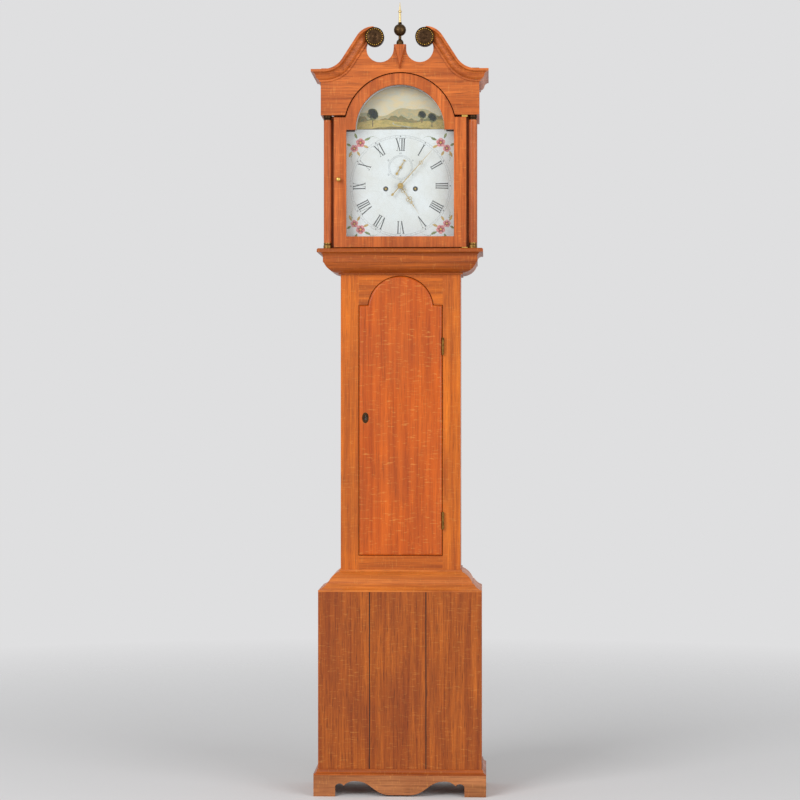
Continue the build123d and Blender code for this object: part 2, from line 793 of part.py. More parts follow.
def at_angle(start, distance, angle):
    """The point at a distance from start, at an angle in degrees from the vertical."""
    return (start[0] + distance * sin(radians(angle)), start[1] + distance * cos(radians(angle)))


great_module = 2 * hypot(winding_x, winding_drop) / (great_teeth + centre_pinion)
third_at = meet(centre_at, seconds_at, train_module * (centre_teeth + third_pinion) / 2,
                train_module * (third_teeth + escape_pinion) / 2, -1)
pin_at = at_angle(striking_at, great_module * (great_teeth + pin_pinion) / 2, -10)
warning_at = at_angle(pin_at, strike_module * (pin_teeth + warning_pinion) / 2, 14)
fly_at = at_angle(warning_at, warning_module * (warning_teeth + fly_pinion) / 2, 45)
minute_at = (0.0, dial_z - motion_module * motion_teeth)
hour_module = 2 * motion_module * motion_teeth / (minute_pinion + hour_teeth)
anchor_at = (0.0, seconds_at[1] + escape_radius * sqrt(2))
hammer_at = (52.0, dial_z + 62)

# Layers between the plates, measured back from the front plate's inner face
y_in = y_plate_inner
y_centre_wheel = y_in + 4
y_third_wheel = y_in + 8
y_escape_wheel = y_in + 20
y_barrel = y_in + 12
y_great = y_in + 47
y_going_great = y_great + 3.4
y_fly_wheel = y_in + 30

# Plates, with a pivot hole for each arbor
stud_radius = 0.9
plates = {}
for name, y0, front in (("front_plate", y_plate, True), ("back_plate", y_back_plate, False)):
    with BuildPart() as plate:
        with BuildSketch(Plane.XZ.offset(-y0 - plate_thickness)):
            with Locations((0, (plate_low + plate_high) / 2)):
                Rectangle(2 * plate_half_width, plate_high - plate_low)
            with Locations(centre_at, seconds_at, going_at, striking_at):
                Circle(arbor_radius + fit, mode=Mode.SUBTRACT)
            with Locations(third_at, pin_at, warning_at, fly_at):
                Circle(pivot_radius + fit, mode=Mode.SUBTRACT)
            with Locations(anchor_at):
                Circle(arbor_radius + fit, mode=Mode.SUBTRACT)
            with Locations(hammer_at):
                Circle(pivot_radius + fit, mode=Mode.SUBTRACT)
        extrude(amount=plate_thickness)
        if front:
            rod(*minute_at, stud_radius, y_plate - 15, y_plate)
    plates[name] = plate.part
save_group([plates["front_plate"]], "front_plate")
with BuildPart() as plate_pillars:
    for x, z in pillar_spots:
        rod(x, z, 4.5, y_plate_inner, y_back_plate)
        disc(x, z, 6.5, 0.5, y_plate_inner + 4, y_plate_inner + 7)
        disc(x, z, 6.5, 0.5, y_back_plate - 7, y_back_plate - 4)
save_group([plates["back_plate"], plate_pillars.part], "back_plate_and_pillars")


def gear(x, z, teeth, module, y0, y1, bore, meets=None, leaf=False, spokes=4):
    """A toothed wheel, its gap turned towards meets, or a pinion, its leaf turned there."""
    pitch = module * teeth / 2
    root = pitch - 0.95 * module
    tip = pitch + 0.55 * module
    step = 360 / teeth
    turn = 0.0
    if meets:
        turn = degrees(atan2(meets[1] - z, meets[0] - x)) + (0 if leaf else step / 2)
    with BuildSketch(Plane.XZ.offset(-y1)) as section:
        with Locations((x, z)):
            Circle(root)
            with PolarLocations(0, teeth, start_angle=turn):
                with BuildLine(mode=Mode.PRIVATE) as flank:
                    half = pi * pitch / teeth * (0.26 if leaf else 0.37)
                    Polyline((root - 0.4, -half * 1.2), (tip, -half * 0.55), (tip, half * 0.55),
                             (root - 0.4, half * 1.2), (root - 0.4, -half * 1.2))
                add(make_face(flank.line, mode=Mode.PRIVATE))
            if root > 12:
                with PolarLocations((root + 1) / 2 + 0.6, spokes, start_angle=45):
                    SlotOverall((root - 7) * 0.72, (root - 7) * 0.42, mode=Mode.SUBTRACT)
            if bore > 0:
                Circle(bore, mode=Mode.SUBTRACT)
    extrude(section.sketch, amount=y1 - y0)


def train_wheel(name, spot, teeth, module, y_wheel, wheel_meets, leaves, leaf_module, y_pinion, pinion_meets):
    """A wheel and pinion on one arbor with a pivot at each plate."""
    with BuildPart() as wheel:
        rod(*spot, pivot_radius, y_plate, y_back_plate + plate_thickness)
        rod(*spot, min(arbor_radius, leaf_module * leaves / 2 - leaf_module), y_plate_inner + clear,
            y_back_plate - clear)
        gear(*spot, leaves, leaf_module, y_pinion, y_pinion + pinion_length, 0, pinion_meets, leaf=True)
        gear(*spot, teeth, module, y_wheel, y_wheel + wheel_thickness, 0, wheel_meets)
    save(wheel, name)


train_wheel("third_wheel", third_at, third_teeth, train_module, y_third_wheel, seconds_at,
            third_pinion, train_module, y_centre_wheel - 2, centre_at)
train_wheel("strike_pin_wheel", pin_at, pin_teeth, strike_module, y_third_wheel, warning_at,
            pin_pinion, great_module, y_great - 2, striking_at)
train_wheel("warning_wheel", warning_at, warning_teeth, warning_module, y_fly_wheel, fly_at,
            warning_pinion, strike_module, y_third_wheel - 2, pin_at)
with BuildPart() as fly:
    rod(*fly_at, pivot_radius, y_plate, y_back_plate + plate_thickness)
    gear(*fly_at, fly_pinion, warning_module, y_fly_wheel - 2, y_fly_wheel + 4, 0, warning_at, leaf=True)
    bar(fly_at[0] - 11, fly_at[0] + 11, y_fly_wheel + 8, y_fly_wheel + 22, fly_at[1] - 0.5, fly_at[1] + 0.5)
save(fly, "strike_fly")

# Centre arbor with its wheel, the cannon wheel in front of the plate and the minute hand's seat
y_hour_hand = y_dial - 8
y_minute_hand = y_dial - 12
y_seconds_hand = y_dial - 4
y_motion = y_plate - 6
with BuildPart() as centre_wheel:
    rod(*centre_at, arbor_radius, y_minute_hand - 3, y_back_plate + plate_thickness)
    gear(*centre_at, centre_teeth, train_module, y_centre_wheel, y_centre_wheel + wheel_thickness, 0, third_at)
    gear(*centre_at, centre_pinion, great_module, y_going_great - 0.8, y_going_great + 3, 0, going_at, leaf=True)
    gear(*centre_at, motion_teeth, motion_module, y_motion, y_motion + wheel_thickness, 0, minute_at)
save(centre_wheel, "centre_wheel")
with BuildPart() as minute_wheel:
    gear(*minute_at, motion_teeth, motion_module, y_motion, y_motion + wheel_thickness, 0, centre_at, leaf=True)
    gear(*minute_at, minute_pinion, hour_module, y_motion - 8, y_motion, 0, centre_at, leaf=True)
    rod(*minute_at, stud_radius + fit, y_motion - 9, y_plate, mode=Mode.SUBTRACT)
save(minute_wheel, "minute_wheel")
with BuildPart() as hour_wheel:
    disc(*centre_at, hour_pipe, arbor_radius + fit, y_hour_hand - 2, y_motion - 4)
    gear(*centre_at, hour_teeth, hour_module, y_motion - 6, y_motion - 4, arbor_radius + fit, minute_at)
save(hour_wheel, "hour_wheel")
with BuildPart() as escape_wheel:
    rod(*seconds_at, arbor_radius - 0.6, y_seconds_hand - 3, y_back_plate + plate_thickness)
    gear(*seconds_at, escape_pinion, train_module, y_third_wheel - 2, y_third_wheel + 4, 0, third_at, leaf=True)
    disc(*seconds_at, arbor_radius, 0.5, y_plate, y_plate + plate_thickness)
    disc(*seconds_at, arbor_radius, 0.5, y_back_plate, y_back_plate + plate_thickness)
    with BuildSketch(Plane.XZ.offset(-y_escape_wheel - wheel_thickness)) as teeth:
        with Locations(seconds_at):
            Circle(escape_radius - 4)
            with PolarLocations(0, escape_teeth):
                with BuildLine(mode=Mode.PRIVATE) as tooth:
                    Polyline((escape_radius - 5, -1.2), (escape_radius, 0.8), (escape_radius - 5, 1.0),
                             (escape_radius - 5, -1.2))
                add(make_face(tooth.line, mode=Mode.PRIVATE))
            with PolarLocations(9.5, 4, start_angle=45):
                SlotOverall(8, 5, mode=Mode.SUBTRACT)
    extrude(teeth.sketch, amount=wheel_thickness)
save(escape_wheel, "escape_wheel")

# Great wheels on the barrel arbors; each barrel winds on its own arbor
for name, spot, pinion, y_wheel in (("going", going_at, centre_at, y_going_great),
                                    ("striking", striking_at, pin_at, y_great)):
    with BuildPart() as great:
        gear(*spot, great_teeth, great_module, y_wheel, y_wheel + wheel_thickness, arbor_radius + fit, pinion,
             spokes=5)
        disc(*spot, 7, arbor_radius + fit, y_wheel - 1, y_wheel + wheel_thickness + 1)
    save(great, f"{name}_great_wheel")
    with BuildPart() as barrel:
        rod(*spot, arbor_radius, y_dial - 1, y_back_plate + plate_thickness)
        rod(*spot, barrel_radius, y_barrel, y_barrel + barrel_length)
        disc(*spot, barrel_radius + 2, 1, y_barrel, y_barrel + 1.2)
        disc(*spot, barrel_radius + 2, 1, y_barrel + barrel_length - 1.2, y_barrel + barrel_length)
    save(barrel, f"{name}_barrel")


def hand(name, spot, y, length, angle, boss, bore, tail, rings):
    """A pierced hand: a tapered blade, a boss, a curled tail and rings as (distance, radius, offset)."""
    with BuildPart() as piece:
        with BuildSketch(Plane.XZ.offset(-y - hand_thickness)):
            with Locations(Location((spot[0], spot[1], 0), (0, 0, -angle))):
                with BuildLine(mode=Mode.PRIVATE) as blade:
                    Polyline((-1.3, 0), (-0.5, length * 0.8), (0, length), (0.5, length * 0.8), (1.3, 0), (-1.3, 0))
                add(make_face(blade.line, mode=Mode.PRIVATE))
                Circle(boss)
            for distance, radius, offset in rings:
                along = radians(angle)
                x = spot[0] + distance * sin(along) + offset * cos(along)
                z = spot[1] + distance * cos(along) - offset * sin(along)
                with Locations((x, z)):
                    Circle(radius)
                    if radius > 2:
                        Circle(radius - 1.1, mode=Mode.SUBTRACT)
            if tail > 0:
                with Locations(Location((spot[0], spot[1], 0), (0, 0, -angle))):
                    with BuildLine(mode=Mode.PRIVATE) as curl:
                        Polyline((-1.4, 0), (-1.0, -tail), (1.0, -tail), (1.4, 0), (-1.4, 0))
                    add(make_face(curl.line, mode=Mode.PRIVATE))
                    with Locations((0, -tail - 3.4)):
                        Ellipse(3.2, 4.4)
            with Locations(spot):
                Circle(bore, mode=Mode.SUBTRACT)
        extrude(amount=hand_thickness)
    save(piece, name)


minute_rings = ((32, 2.6, 0), (60, 2.2, 0), (86, 3.2, -2.4), (86, 3.2, 2.4), (92, 2.8, 0), (81, 2.6, 0))
hour_rings = ((16, 4.2, -3.2), (16, 4.2, 3.2), (26, 2.6, 0), (44, 4.4, -4.6), (44, 4.4, 4.6), (50, 4.2, 0),
              (56, 2.6, -2.4), (56, 2.6, 2.4), (38, 2.6, 0), (66, 1.8, 0))
seconds_rings = ((22, 1.8, -2.0), (22, 1.8, 2.0), (10, 1.9, 0))
hand("hour_hand", centre_at, y_hour_hand, hour_hand_length, hour_hand_angle, 8, hour_pipe + fit, 0, hour_rings)
hand("minute_hand", centre_at, y_minute_hand, minute_hand_length, minute_hand_angle, 8, arbor_radius + fit,
     30, minute_rings)
hand("seconds_hand", seconds_at, y_seconds_hand, seconds_hand_length, seconds_hand_angle, 4,
     arbor_radius - 0.6 + fit, 17, seconds_rings)

# Anchor with its crutch, whose fork holds the pendulum rod
y_cock = y_back_plate + 26
y_rod = y_back_plate + 19
crutch_drop = 120.0
pallet_reach = escape_radius / sqrt(2)
with BuildPart() as anchor:
    rod(*anchor_at, arbor_radius, y_plate, y_rod - 8)
    with BuildSketch(Plane.XZ.offset(-y_escape_wheel - wheel_thickness - 1)) as arms:
        with BuildLine():
            foot = seconds_at[1] + pallet_reach + 1.6
            Polyline((-5, anchor_at[1] + 4), (5, anchor_at[1] + 4), (pallet_reach + 5, foot + 5),
                     (pallet_reach + 3.4, foot - 0.4), (pallet_reach + 1.2, foot - 0.4), (pallet_reach + 1, foot + 3),
                     (0, anchor_at[1] - 5), (-pallet_reach - 1, foot + 3), (-pallet_reach - 1.2, foot - 0.4),
                     (-pallet_reach - 3.4, foot - 0.4), (-pallet_reach - 5, foot + 5), (-5, anchor_at[1] + 4))
        make_face()
    extrude(arms.sketch, amount=wheel_thickness + 2)
    bar(-2, 2, y_back_plate + plate_thickness + 5, y_back_plate + plate_thickness + 7,
        anchor_at[1] - crutch_drop, anchor_at[1])
    for side in (1, -1):
        bar(side * (rod_radius + clear), side * (rod_radius + clear + 2), y_back_plate + plate_thickness + 5,
            y_rod + 5, anchor_at[1] - crutch_drop, anchor_at[1] - crutch_drop + 5)
    bar(-rod_radius - clear - 2, rod_radius + clear + 2, y_back_plate + plate_thickness + 5,
        y_back_plate + plate_thickness + 7, anchor_at[1] - crutch_drop, anchor_at[1] - crutch_drop + 5)
save(anchor, "anchor_and_crutch")

# Back cock that carries the pendulum's suspension spring
spring_thickness = 0.4
spring_length = 28.0
with BuildPart() as back_cock:
    for side in (1, -1):
        bar(side * 12, side * 20, y_back_plate + plate_thickness, y_cock + 3, anchor_at[1] + 1, anchor_at[1] + 9)
        bar(side * 12, side * (spring_thickness / 2 + fit), y_rod - 3, y_cock + 3, anchor_at[1] + 1,
            anchor_at[1] + 9)
save(back_cock, "back_cock")
bob_z = anchor_at[1] - pendulum_length
with BuildPart() as pendulum_rod:
    bar(-spring_thickness / 2, spring_thickness / 2, y_rod - 2.5, y_rod + 2.5, anchor_at[1] - spring_length,
        anchor_at[1] + 0.5)
    post(0, y_rod, rod_radius, bob_z - bob_radius - 22, anchor_at[1] - spring_length)
save(pendulum_rod, "pendulum_rod")
with BuildPart() as pendulum_bob:
    with BuildSketch(Plane(origin=(0, y_rod, bob_z), x_dir=(1, 0, 0), z_dir=(0, 0, 1))) as half_bob:
        with BuildLine():
            RadiusArc((0, -bob_thickness / 2), (bob_radius, -bob_edge), bob_crown)
            Line((bob_radius, -bob_edge), (bob_radius, bob_edge))
            RadiusArc((bob_radius, bob_edge), (0, bob_thickness / 2), bob_crown)
            Line((0, bob_thickness / 2), (0, -bob_thickness / 2))
        make_face()
    revolve(half_bob.sketch, axis=Axis((0, y_rod, bob_z), (0, 1, 0)))
    post(0, y_rod, rod_radius + fit, bob_z - bob_radius - 5, bob_z + bob_radius + 5, mode=Mode.SUBTRACT)
    post(0, y_rod, 8, bob_z - bob_radius - 12, bob_z - bob_radius - 4)
    post(0, y_rod, rod_radius + fit, bob_z - bob_radius - 13, bob_z - bob_radius, mode=Mode.SUBTRACT)
save(pendulum_bob, "pendulum_bob_and_nut")

# Seatboard on the cheeks, with holes for the lines
y_line = y_barrel + barrel_length / 2
seat_front = y_line - 44
slot_x = winding_x + barrel_radius + line_radius + clear
pulley_x = slot_x + pulley_radius + line_radius
with BuildPart() as seatboard:
    bar(-trunk_half, trunk_half, seat_front, y_rod - 14, cheek_top, plate_low)
    with BuildSketch(Plane.XY.offset(cheek_top)) as holes:
        for side in (1, -1):
            with Locations((side * slot_x, y_line), (side * (slot_x + 2 * (pulley_radius + line_radius)), y_line)):
                Circle(line_radius + 2.5)
    extrude(holes.sketch, amount=seatboard_thickness, mode=Mode.SUBTRACT)
save(seatboard, "seatboard")

# Weights on their pulleys, and the gut lines
pulley_z = cheek_top - wound_drop
weight_top = pulley_z - pulley_radius - 40
for name, side in (("going", 1), ("striking", -1)):
    x = side * pulley_x
    with BuildPart() as line:
        post(side * slot_x, y_line, line_radius, pulley_z, dial_z - winding_drop)
        post(x + side * (pulley_radius + line_radius), y_line, line_radius, pulley_z, plate_low + 1)
    save(line, f"{name}_line")
    with BuildPart() as pulley:
        disc(x, pulley_z, pulley_radius, 2.5 + fit, y_line - pulley_thickness / 2, y_line + pulley_thickness / 2)
        with BuildSketch(Plane.XZ.offset(-y_line - line_radius - 0.6)) as groove:
            with Locations((x, pulley_z)):
                Circle(pulley_radius + 5)
                Circle(pulley_radius - 0.6, mode=Mode.SUBTRACT)
        extrude(groove.sketch, amount=2 * line_radius + 1.2, mode=Mode.SUBTRACT)
    with BuildPart() as loop:
        with BuildSketch(Plane(origin=(x, y_line, pulley_z), x_dir=(1, 0, 0), z_dir=(0, 0, 1))) as gut:
            with Locations((pulley_radius + line_radius, 0)):
                Circle(line_radius)
        revolve(gut.sketch, axis=Axis((x, y_line, pulley_z), (0, 1, 0)), revolution_arc=180)
    with BuildPart() as fork:
        rod(x, pulley_z, 2.5, y_line - 8, y_line + 8)
        for y in (y_line - 6.5, y_line + 6.5):
            bar(x - 4, x + 4, y - 1.5, y + 1.5, pulley_z - pulley_radius - 12, pulley_z + 5)
        bar(x - 4, x + 4, y_line - 8, y_line + 8, pulley_z - pulley_radius - 16, pulley_z - pulley_radius - 12)
        post(x, y_line, 2.2, weight_top - 2, pulley_z - pulley_radius - 14)
    with BuildPart() as weight:
        with BuildSketch(Plane(origin=(x, y_line, weight_top), x_dir=(1, 0, 0), z_dir=(0, -1, 0))) as half_weight:
            with BuildLine():
                Polyline((0, -2), (9, -2), (13, -7), (weight_radius - 5, -9))
                RadiusArc((weight_radius - 5, -9), (weight_radius, -14), 5)
                Polyline((weight_radius, -14), (weight_radius, 3 - weight_height), (weight_radius - 3, -weight_height),
                         (0, -weight_height), (0, -2))
            make_face()
        revolve(half_weight.sketch, axis=Axis((x, y_line, weight_top), (0, 0, 1)))
    save_group([pulley.part, loop.part, fork.part, weight.part], f"{name}_weight_and_pulley")

# Bell on its stand, and the hammer
bell_radius = 45.0
bell_z = plate_high + 12
with BuildPart() as bell:
    with BuildSketch(Plane(origin=(0, y_escape_wheel, bell_z), x_dir=(1, 0, 0), z_dir=(0, -1, 0))) as half_bell:
        with BuildLine():
            Polyline((bell_radius, 0), (bell_radius - 2, 0))
            RadiusArc((bell_radius - 2, 0), (3, 30), -36)
            Line((3, 30), (3, 32))
            RadiusArc((3, 32), (bell_radius, 0), 38)
        make_face()
    revolve(half_bell.sketch, axis=Axis((0, y_escape_wheel, bell_z), (0, 0, 1)))
with BuildPart() as bell_stand:
    post(0, y_escape_wheel, 3 - fit, bell_z - 3, bell_z + 36)
    post(0, y_escape_wheel, 5, bell_z + 32 + clear, bell_z + 37)
    bar(-4, 4, y_escape_wheel - 3, y_back_plate + plate_thickness + 3, bell_z - 6, bell_z - 3)
    bar(-4, 4, y_back_plate + plate_thickness, y_back_plate + plate_thickness + 3, plate_high - 6, bell_z - 3)
save_group([bell.part, bell_stand.part], "bell_and_stand")
with BuildPart() as hammer:
    rod(*hammer_at, pivot_radius, y_plate, y_back_plate + plate_thickness)
    rod(*hammer_at, 2.2, y_plate_inner + clear, y_back_plate - clear)
    bar(hammer_at[0] - 1, hammer_at[0] + 1, y_escape_wheel - 1.5, y_escape_wheel + 1.5, hammer_at[1], bell_z + 4)
    rod(hammer_at[0], bell_z + 4, 5, y_escape_wheel - 6, y_escape_wheel + 6)
save(hammer, "bell_hammer")
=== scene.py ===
# %% [markdown]
# A longcase clock in oak with a painted dial. The case, hood, doors, movement and weights come
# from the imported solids, which are loaded as a fixed frame. This file adds the polish, the
# metals, the painting on the dial and the small applied pieces that are too fine for solids.

# %% Load the frame
import math

import bpy
import numpy as np
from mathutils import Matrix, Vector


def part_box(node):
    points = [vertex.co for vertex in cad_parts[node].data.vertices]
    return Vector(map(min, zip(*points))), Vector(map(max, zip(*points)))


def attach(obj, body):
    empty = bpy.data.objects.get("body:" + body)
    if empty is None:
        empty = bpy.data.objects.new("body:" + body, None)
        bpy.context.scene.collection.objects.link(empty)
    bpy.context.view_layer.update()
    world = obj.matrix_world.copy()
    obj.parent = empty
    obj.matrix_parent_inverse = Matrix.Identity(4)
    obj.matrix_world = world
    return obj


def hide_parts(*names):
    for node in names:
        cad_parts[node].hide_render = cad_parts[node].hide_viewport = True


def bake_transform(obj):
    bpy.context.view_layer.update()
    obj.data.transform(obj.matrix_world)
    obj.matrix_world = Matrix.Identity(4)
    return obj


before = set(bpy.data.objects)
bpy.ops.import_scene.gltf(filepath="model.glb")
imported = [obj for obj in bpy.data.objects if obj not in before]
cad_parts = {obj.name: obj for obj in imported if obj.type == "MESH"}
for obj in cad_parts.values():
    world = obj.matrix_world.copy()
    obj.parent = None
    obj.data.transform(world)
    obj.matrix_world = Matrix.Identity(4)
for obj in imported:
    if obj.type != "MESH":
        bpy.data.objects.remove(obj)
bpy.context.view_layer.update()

# %% [markdown]
# The clock was photographed from the front with a long lens, at about half its height, from a
# little to the right. A camera six and a half metres away keeps the uprights straight. Its focal
# length is worked out from the height of the picture at the plane of the case front.

# %% Camera
PICTURE_HEIGHT = 2.24
CAMERA_DISTANCE = 6.5
CAMERA_HEIGHT = 1.1004
CAMERA_TURN = math.radians(2.2)
FRONT_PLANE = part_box("trunk_door")[0].y
PICTURE_CENTRE = -0.0014

lens = bpy.data.cameras.new("long_lens")
lens.sensor_width = 36.0
lens.lens = lens.sensor_width * CAMERA_DISTANCE / PICTURE_HEIGHT
camera = bpy.data.objects.new("camera", lens)
bpy.context.scene.collection.objects.link(camera)
camera.location = (
    PICTURE_CENTRE + CAMERA_DISTANCE * math.sin(CAMERA_TURN),
    FRONT_PLANE - CAMERA_DISTANCE * math.cos(CAMERA_TURN),
    CAMERA_HEIGHT,
)
camera.rotation_euler = (math.pi / 2, 0.0, CAMERA_TURN)
bpy.context.scene.camera = camera
bpy.context.scene.view_settings.view_transform = "Standard"
print("focal length", round(lens.lens, 1), "mm")


# %% [markdown]
# Every colour is written as the hex value that a paint card would show, in sRGB. Blender mixes
# light in linear values, so one function turns the first into the second. A second function
# adds a shader node, sets its properties and joins its inputs, which keeps each material short.

# %% Colours and nodes
def linear(code):
    """Linear red, green, blue and alpha: a twelfth slope near black, and a 2.4 power above."""
    parts = [int(code[i : i + 2], 16) / 255 for i in (1, 3, 5)]
    return tuple(c / 12.92 if c <= 0.04045 else ((c + 0.055) / 1.055) ** 2.4 for c in parts) + (1.0,)


def add_node(tree, kind, inputs=None, **settings):
    """Adds one node. Settings are its properties, and an input is a value or a socket to join."""
    node = tree.nodes.new(kind)
    for name, value in settings.items():
        setattr(node, name, value)
    for key, value in (inputs or {}).items():
        if isinstance(value, bpy.types.NodeSocket):
            tree.links.new(value, node.inputs[key])
        else:
            node.inputs[key].default_value = value
    return node


def new_material(name):
    """A material with an empty tree, its output and one main shader."""
    material = bpy.data.materials.new(name)
    material.use_nodes = True
    tree = material.node_tree
    tree.nodes.clear()
    shader = add_node(tree, "ShaderNodeBsdfPrincipled")
    add_node(tree, "ShaderNodeOutputMaterial", {"Surface": shader.outputs[0]})
    return material, tree, shader


def spread(tree, millimetres, turn=(0.0, 0.0, 0.0), shift=(0.0, 0.0, 0.0)):
    """Object coordinates turned, then divided by a pattern's real size along x, y and z."""
    place = add_node(tree, "ShaderNodeTexCoord").outputs["Object"]
    turned = add_node(
        tree, "ShaderNodeMapping", {"Vector": place, "Rotation": turn, "Location": shift}
    )
    size = [1000.0 / value for value in millimetres]
    scaled = add_node(tree, "ShaderNodeMapping", {"Vector": turned.outputs[0], "Scale": size})
    return scaled.outputs[0]


def cloud(tree, vector, detail=3.0, rough=0.55, bend=0.0):
    """A noise value from 0 to 1, as wide as the vector's unit."""
    settings = {"Vector": vector, "Scale": 1.0, "Detail": detail, "Roughness": rough}
    settings["Distortion"] = bend
    return add_node(tree, "ShaderNodeTexNoise", settings).outputs[0]


def fade(tree, value, low, high, start=0.0, end=1.0):
    """Carries a value from the range low to high into start to end, held at both ends."""
    inputs = {"Value": value, "From Min": low, "From Max": high, "To Min": start, "To Max": end}
    return add_node(tree, "ShaderNodeMapRange", inputs, clamp=True).outputs[0]


def tint(tree, amount, first, second):
    """Mixes two colours by an amount."""
    node = add_node(tree, "ShaderNodeMix", {0: amount}, data_type="RGBA")
    for key, value in ((6, first), (7, second)):
        if isinstance(value, bpy.types.NodeSocket):
            tree.links.new(value, node.inputs[key])
        else:
            node.inputs[key].default_value = value
    return node.outputs[2]


def relief(tree, shader, value, depth, strength):
    """Raises the surface by a value, as a bump of a depth in millimetres."""
    inputs = {"Height": value, "Distance": depth / 1000, "Strength": strength}
    bump = add_node(tree, "ShaderNodeBump", inputs)
    tree.links.new(bump.outputs[0], shader.inputs["Normal"])


print("oak pale", [round(c, 3) for c in linear("#C8732C")])

# %% [markdown]
# The case is quarter-sawn oak under an old french polish. The eye sees long streaks where the
# growth rings run, short dark pores along the grain, pale flecks of ray figure across it, and
# patches where the polish has darkened or worn. Each is one stretched noise. The pores of oak
# are 0.3 mm wide, too fine to show here, so they are drawn 1.5 mm wide.

# %% Polished oak
ALONG = {
    "z": (0.0, 0.0, 0.0),
    "x": (0.0, math.pi / 2, 0.0),
    "y": (math.pi / 2, 0.0, 0.0),
}
RING_WIDTH = 17.0
PORE_WIDTH = 1.5
FLECK_WIDTH = 22.0
JOINT_HALF_WIDTH = 0.0009


def oak(name, pale, deep, grain="z", flecks=0.25, streaks=0.55, patch=0.45, seams=(), shift=0.0):
    """French-polished oak. Seams are the x places of dark joints between boards."""
    material, tree, shader = new_material(name)
    turn = ALONG[grain]
    move = (shift, shift, shift)
    ring_place = spread(tree, (RING_WIDTH, RING_WIDTH, 420.0), turn, move)
    rings = cloud(tree, ring_place, 4.0, 0.6, 0.5)
    pores = cloud(tree, spread(tree, (PORE_WIDTH, PORE_WIDTH, 45.0), turn, move), 2.0, 0.6)
    wide_pores = cloud(tree, spread(tree, (5.0, 5.0, 190.0), turn, move), 3.0, 0.6, 0.3)
    rays = cloud(tree, spread(tree, (FLECK_WIDTH, FLECK_WIDTH, 3.2), turn, move), 2.0, 0.5, 0.4)
    patches = cloud(tree, spread(tree, (150.0, 150.0, 260.0), turn, move), 3.0, 0.6)

    colour = tint(tree, fade(tree, rings, 0.3, 0.7), linear(deep), linear(pale))
    shade = tint(tree, fade(tree, patches, 0.35, 0.7, 0.0, patch), colour, linear("#7E330A"))
    ray_mask = fade(tree, rays, 0.6, 0.72, 0.0, flecks)
    figured = tint(tree, ray_mask, shade, linear("#E8A050"))
    dark_wide = fade(tree, wide_pores, 0.58, 0.4, 0.0, streaks * 0.55)
    streaked = tint(tree, dark_wide, figured, linear("#6A2A0A"))
    dark_fine = fade(tree, pores, 0.46, 0.3, 0.0, streaks)
    finished = tint(tree, dark_fine, streaked, linear("#481C08"))
    if seams:
        place = add_node(tree, "ShaderNodeTexCoord").outputs["Object"]
        across = add_node(tree, "ShaderNodeSeparateXYZ", {0: place}).outputs[0]
        for seam in seams:
            gap = add_node(tree, "ShaderNodeMath", {0: across, 1: seam}, operation="SUBTRACT")
            size = add_node(tree, "ShaderNodeMath", {0: gap.outputs[0]}, operation="ABSOLUTE")
            near = fade(tree, size.outputs[0], JOINT_HALF_WIDTH * 2, JOINT_HALF_WIDTH)
            finished = tint(tree, near, finished, linear("#24120A"))
    tree.links.new(finished, shader.inputs["Base Color"])
    gloss = fade(tree, patches, 0.3, 0.7, 0.32, 0.5)
    tree.links.new(gloss, shader.inputs["Roughness"])
    shader.inputs["IOR"].default_value = 1.5
    shader.inputs["Specular IOR Level"].default_value = 0.3
    shader.inputs["Coat Weight"].default_value = 0.05
    shader.inputs["Coat Roughness"].default_value = 0.12
    relief(tree, shader, pores, 0.25, 0.35)
    return material


BOARD_JOINTS = (-0.084, 0.0725)
stile_oak = oak("stile_oak_french_polished", "#E67C20", "#B35410", streaks=0.45, patch=0.4)
side_oak = oak("side_oak_french_polished", "#D66C1C", "#A04A10", patch=0.45, shift=0.31)
rail_oak = oak("rail_oak_french_polished", "#DC7420", "#A44E10", "x", streaks=0.45, patch=0.45)
door_oak = oak("door_oak_ray_figured", "#DC6818", "#B24A0C", flecks=0.4, streaks=0.35, patch=0.4)
hood_oak = oak("hood_oak_french_polished", "#DE7632", "#AC5018", streaks=0.5, patch=0.45, shift=0.7)
hood_rail_oak = oak("hood_rail_oak_french_polished", "#DC7630", "#A85018", "x", patch=0.45, shift=0.2)
base_oak = oak(
    "base_oak_boards", "#C4681E", "#8A3E0E", streaks=0.7, patch=0.45, seams=BOARD_JOINTS, shift=0.5
)
base_side_oak = oak("base_side_oak", "#BC621E", "#863E10", streaks=0.65, patch=0.5, shift=0.9)
moulding_oak = oak("moulding_oak", "#C4641E", "#8A4010", "x", streaks=0.5, patch=0.45, shift=0.1)
# The base cap moulding takes a paler copy of the moulding oak: a painted highlight for the light along
# its top edges.
cap_oak_painted_highlight = oak("cap_moulding_oak_painted_highlight", "#E8883A", "#BE6220", "x", streaks=0.45, patch=0.4, shift=0.6)
plinth_oak = oak("plinth_oak_worn", "#BE7A4A", "#88522A", "x", streaks=0.5, patch=0.5, shift=0.4)
print("oak finishes", sum("oak" in m.name for m in bpy.data.materials))

# %% [markdown]
# The hidden boards are pine that never had polish: pale, dry and dusty. The metals each have
# their own making. Clock brass is polished and lacquered, and dulls in cloudy patches. The
# rosettes and the capitals are brass gone dark with age. Steel arbors are bright, and the iron
# weights are cast, with a sandy skin.

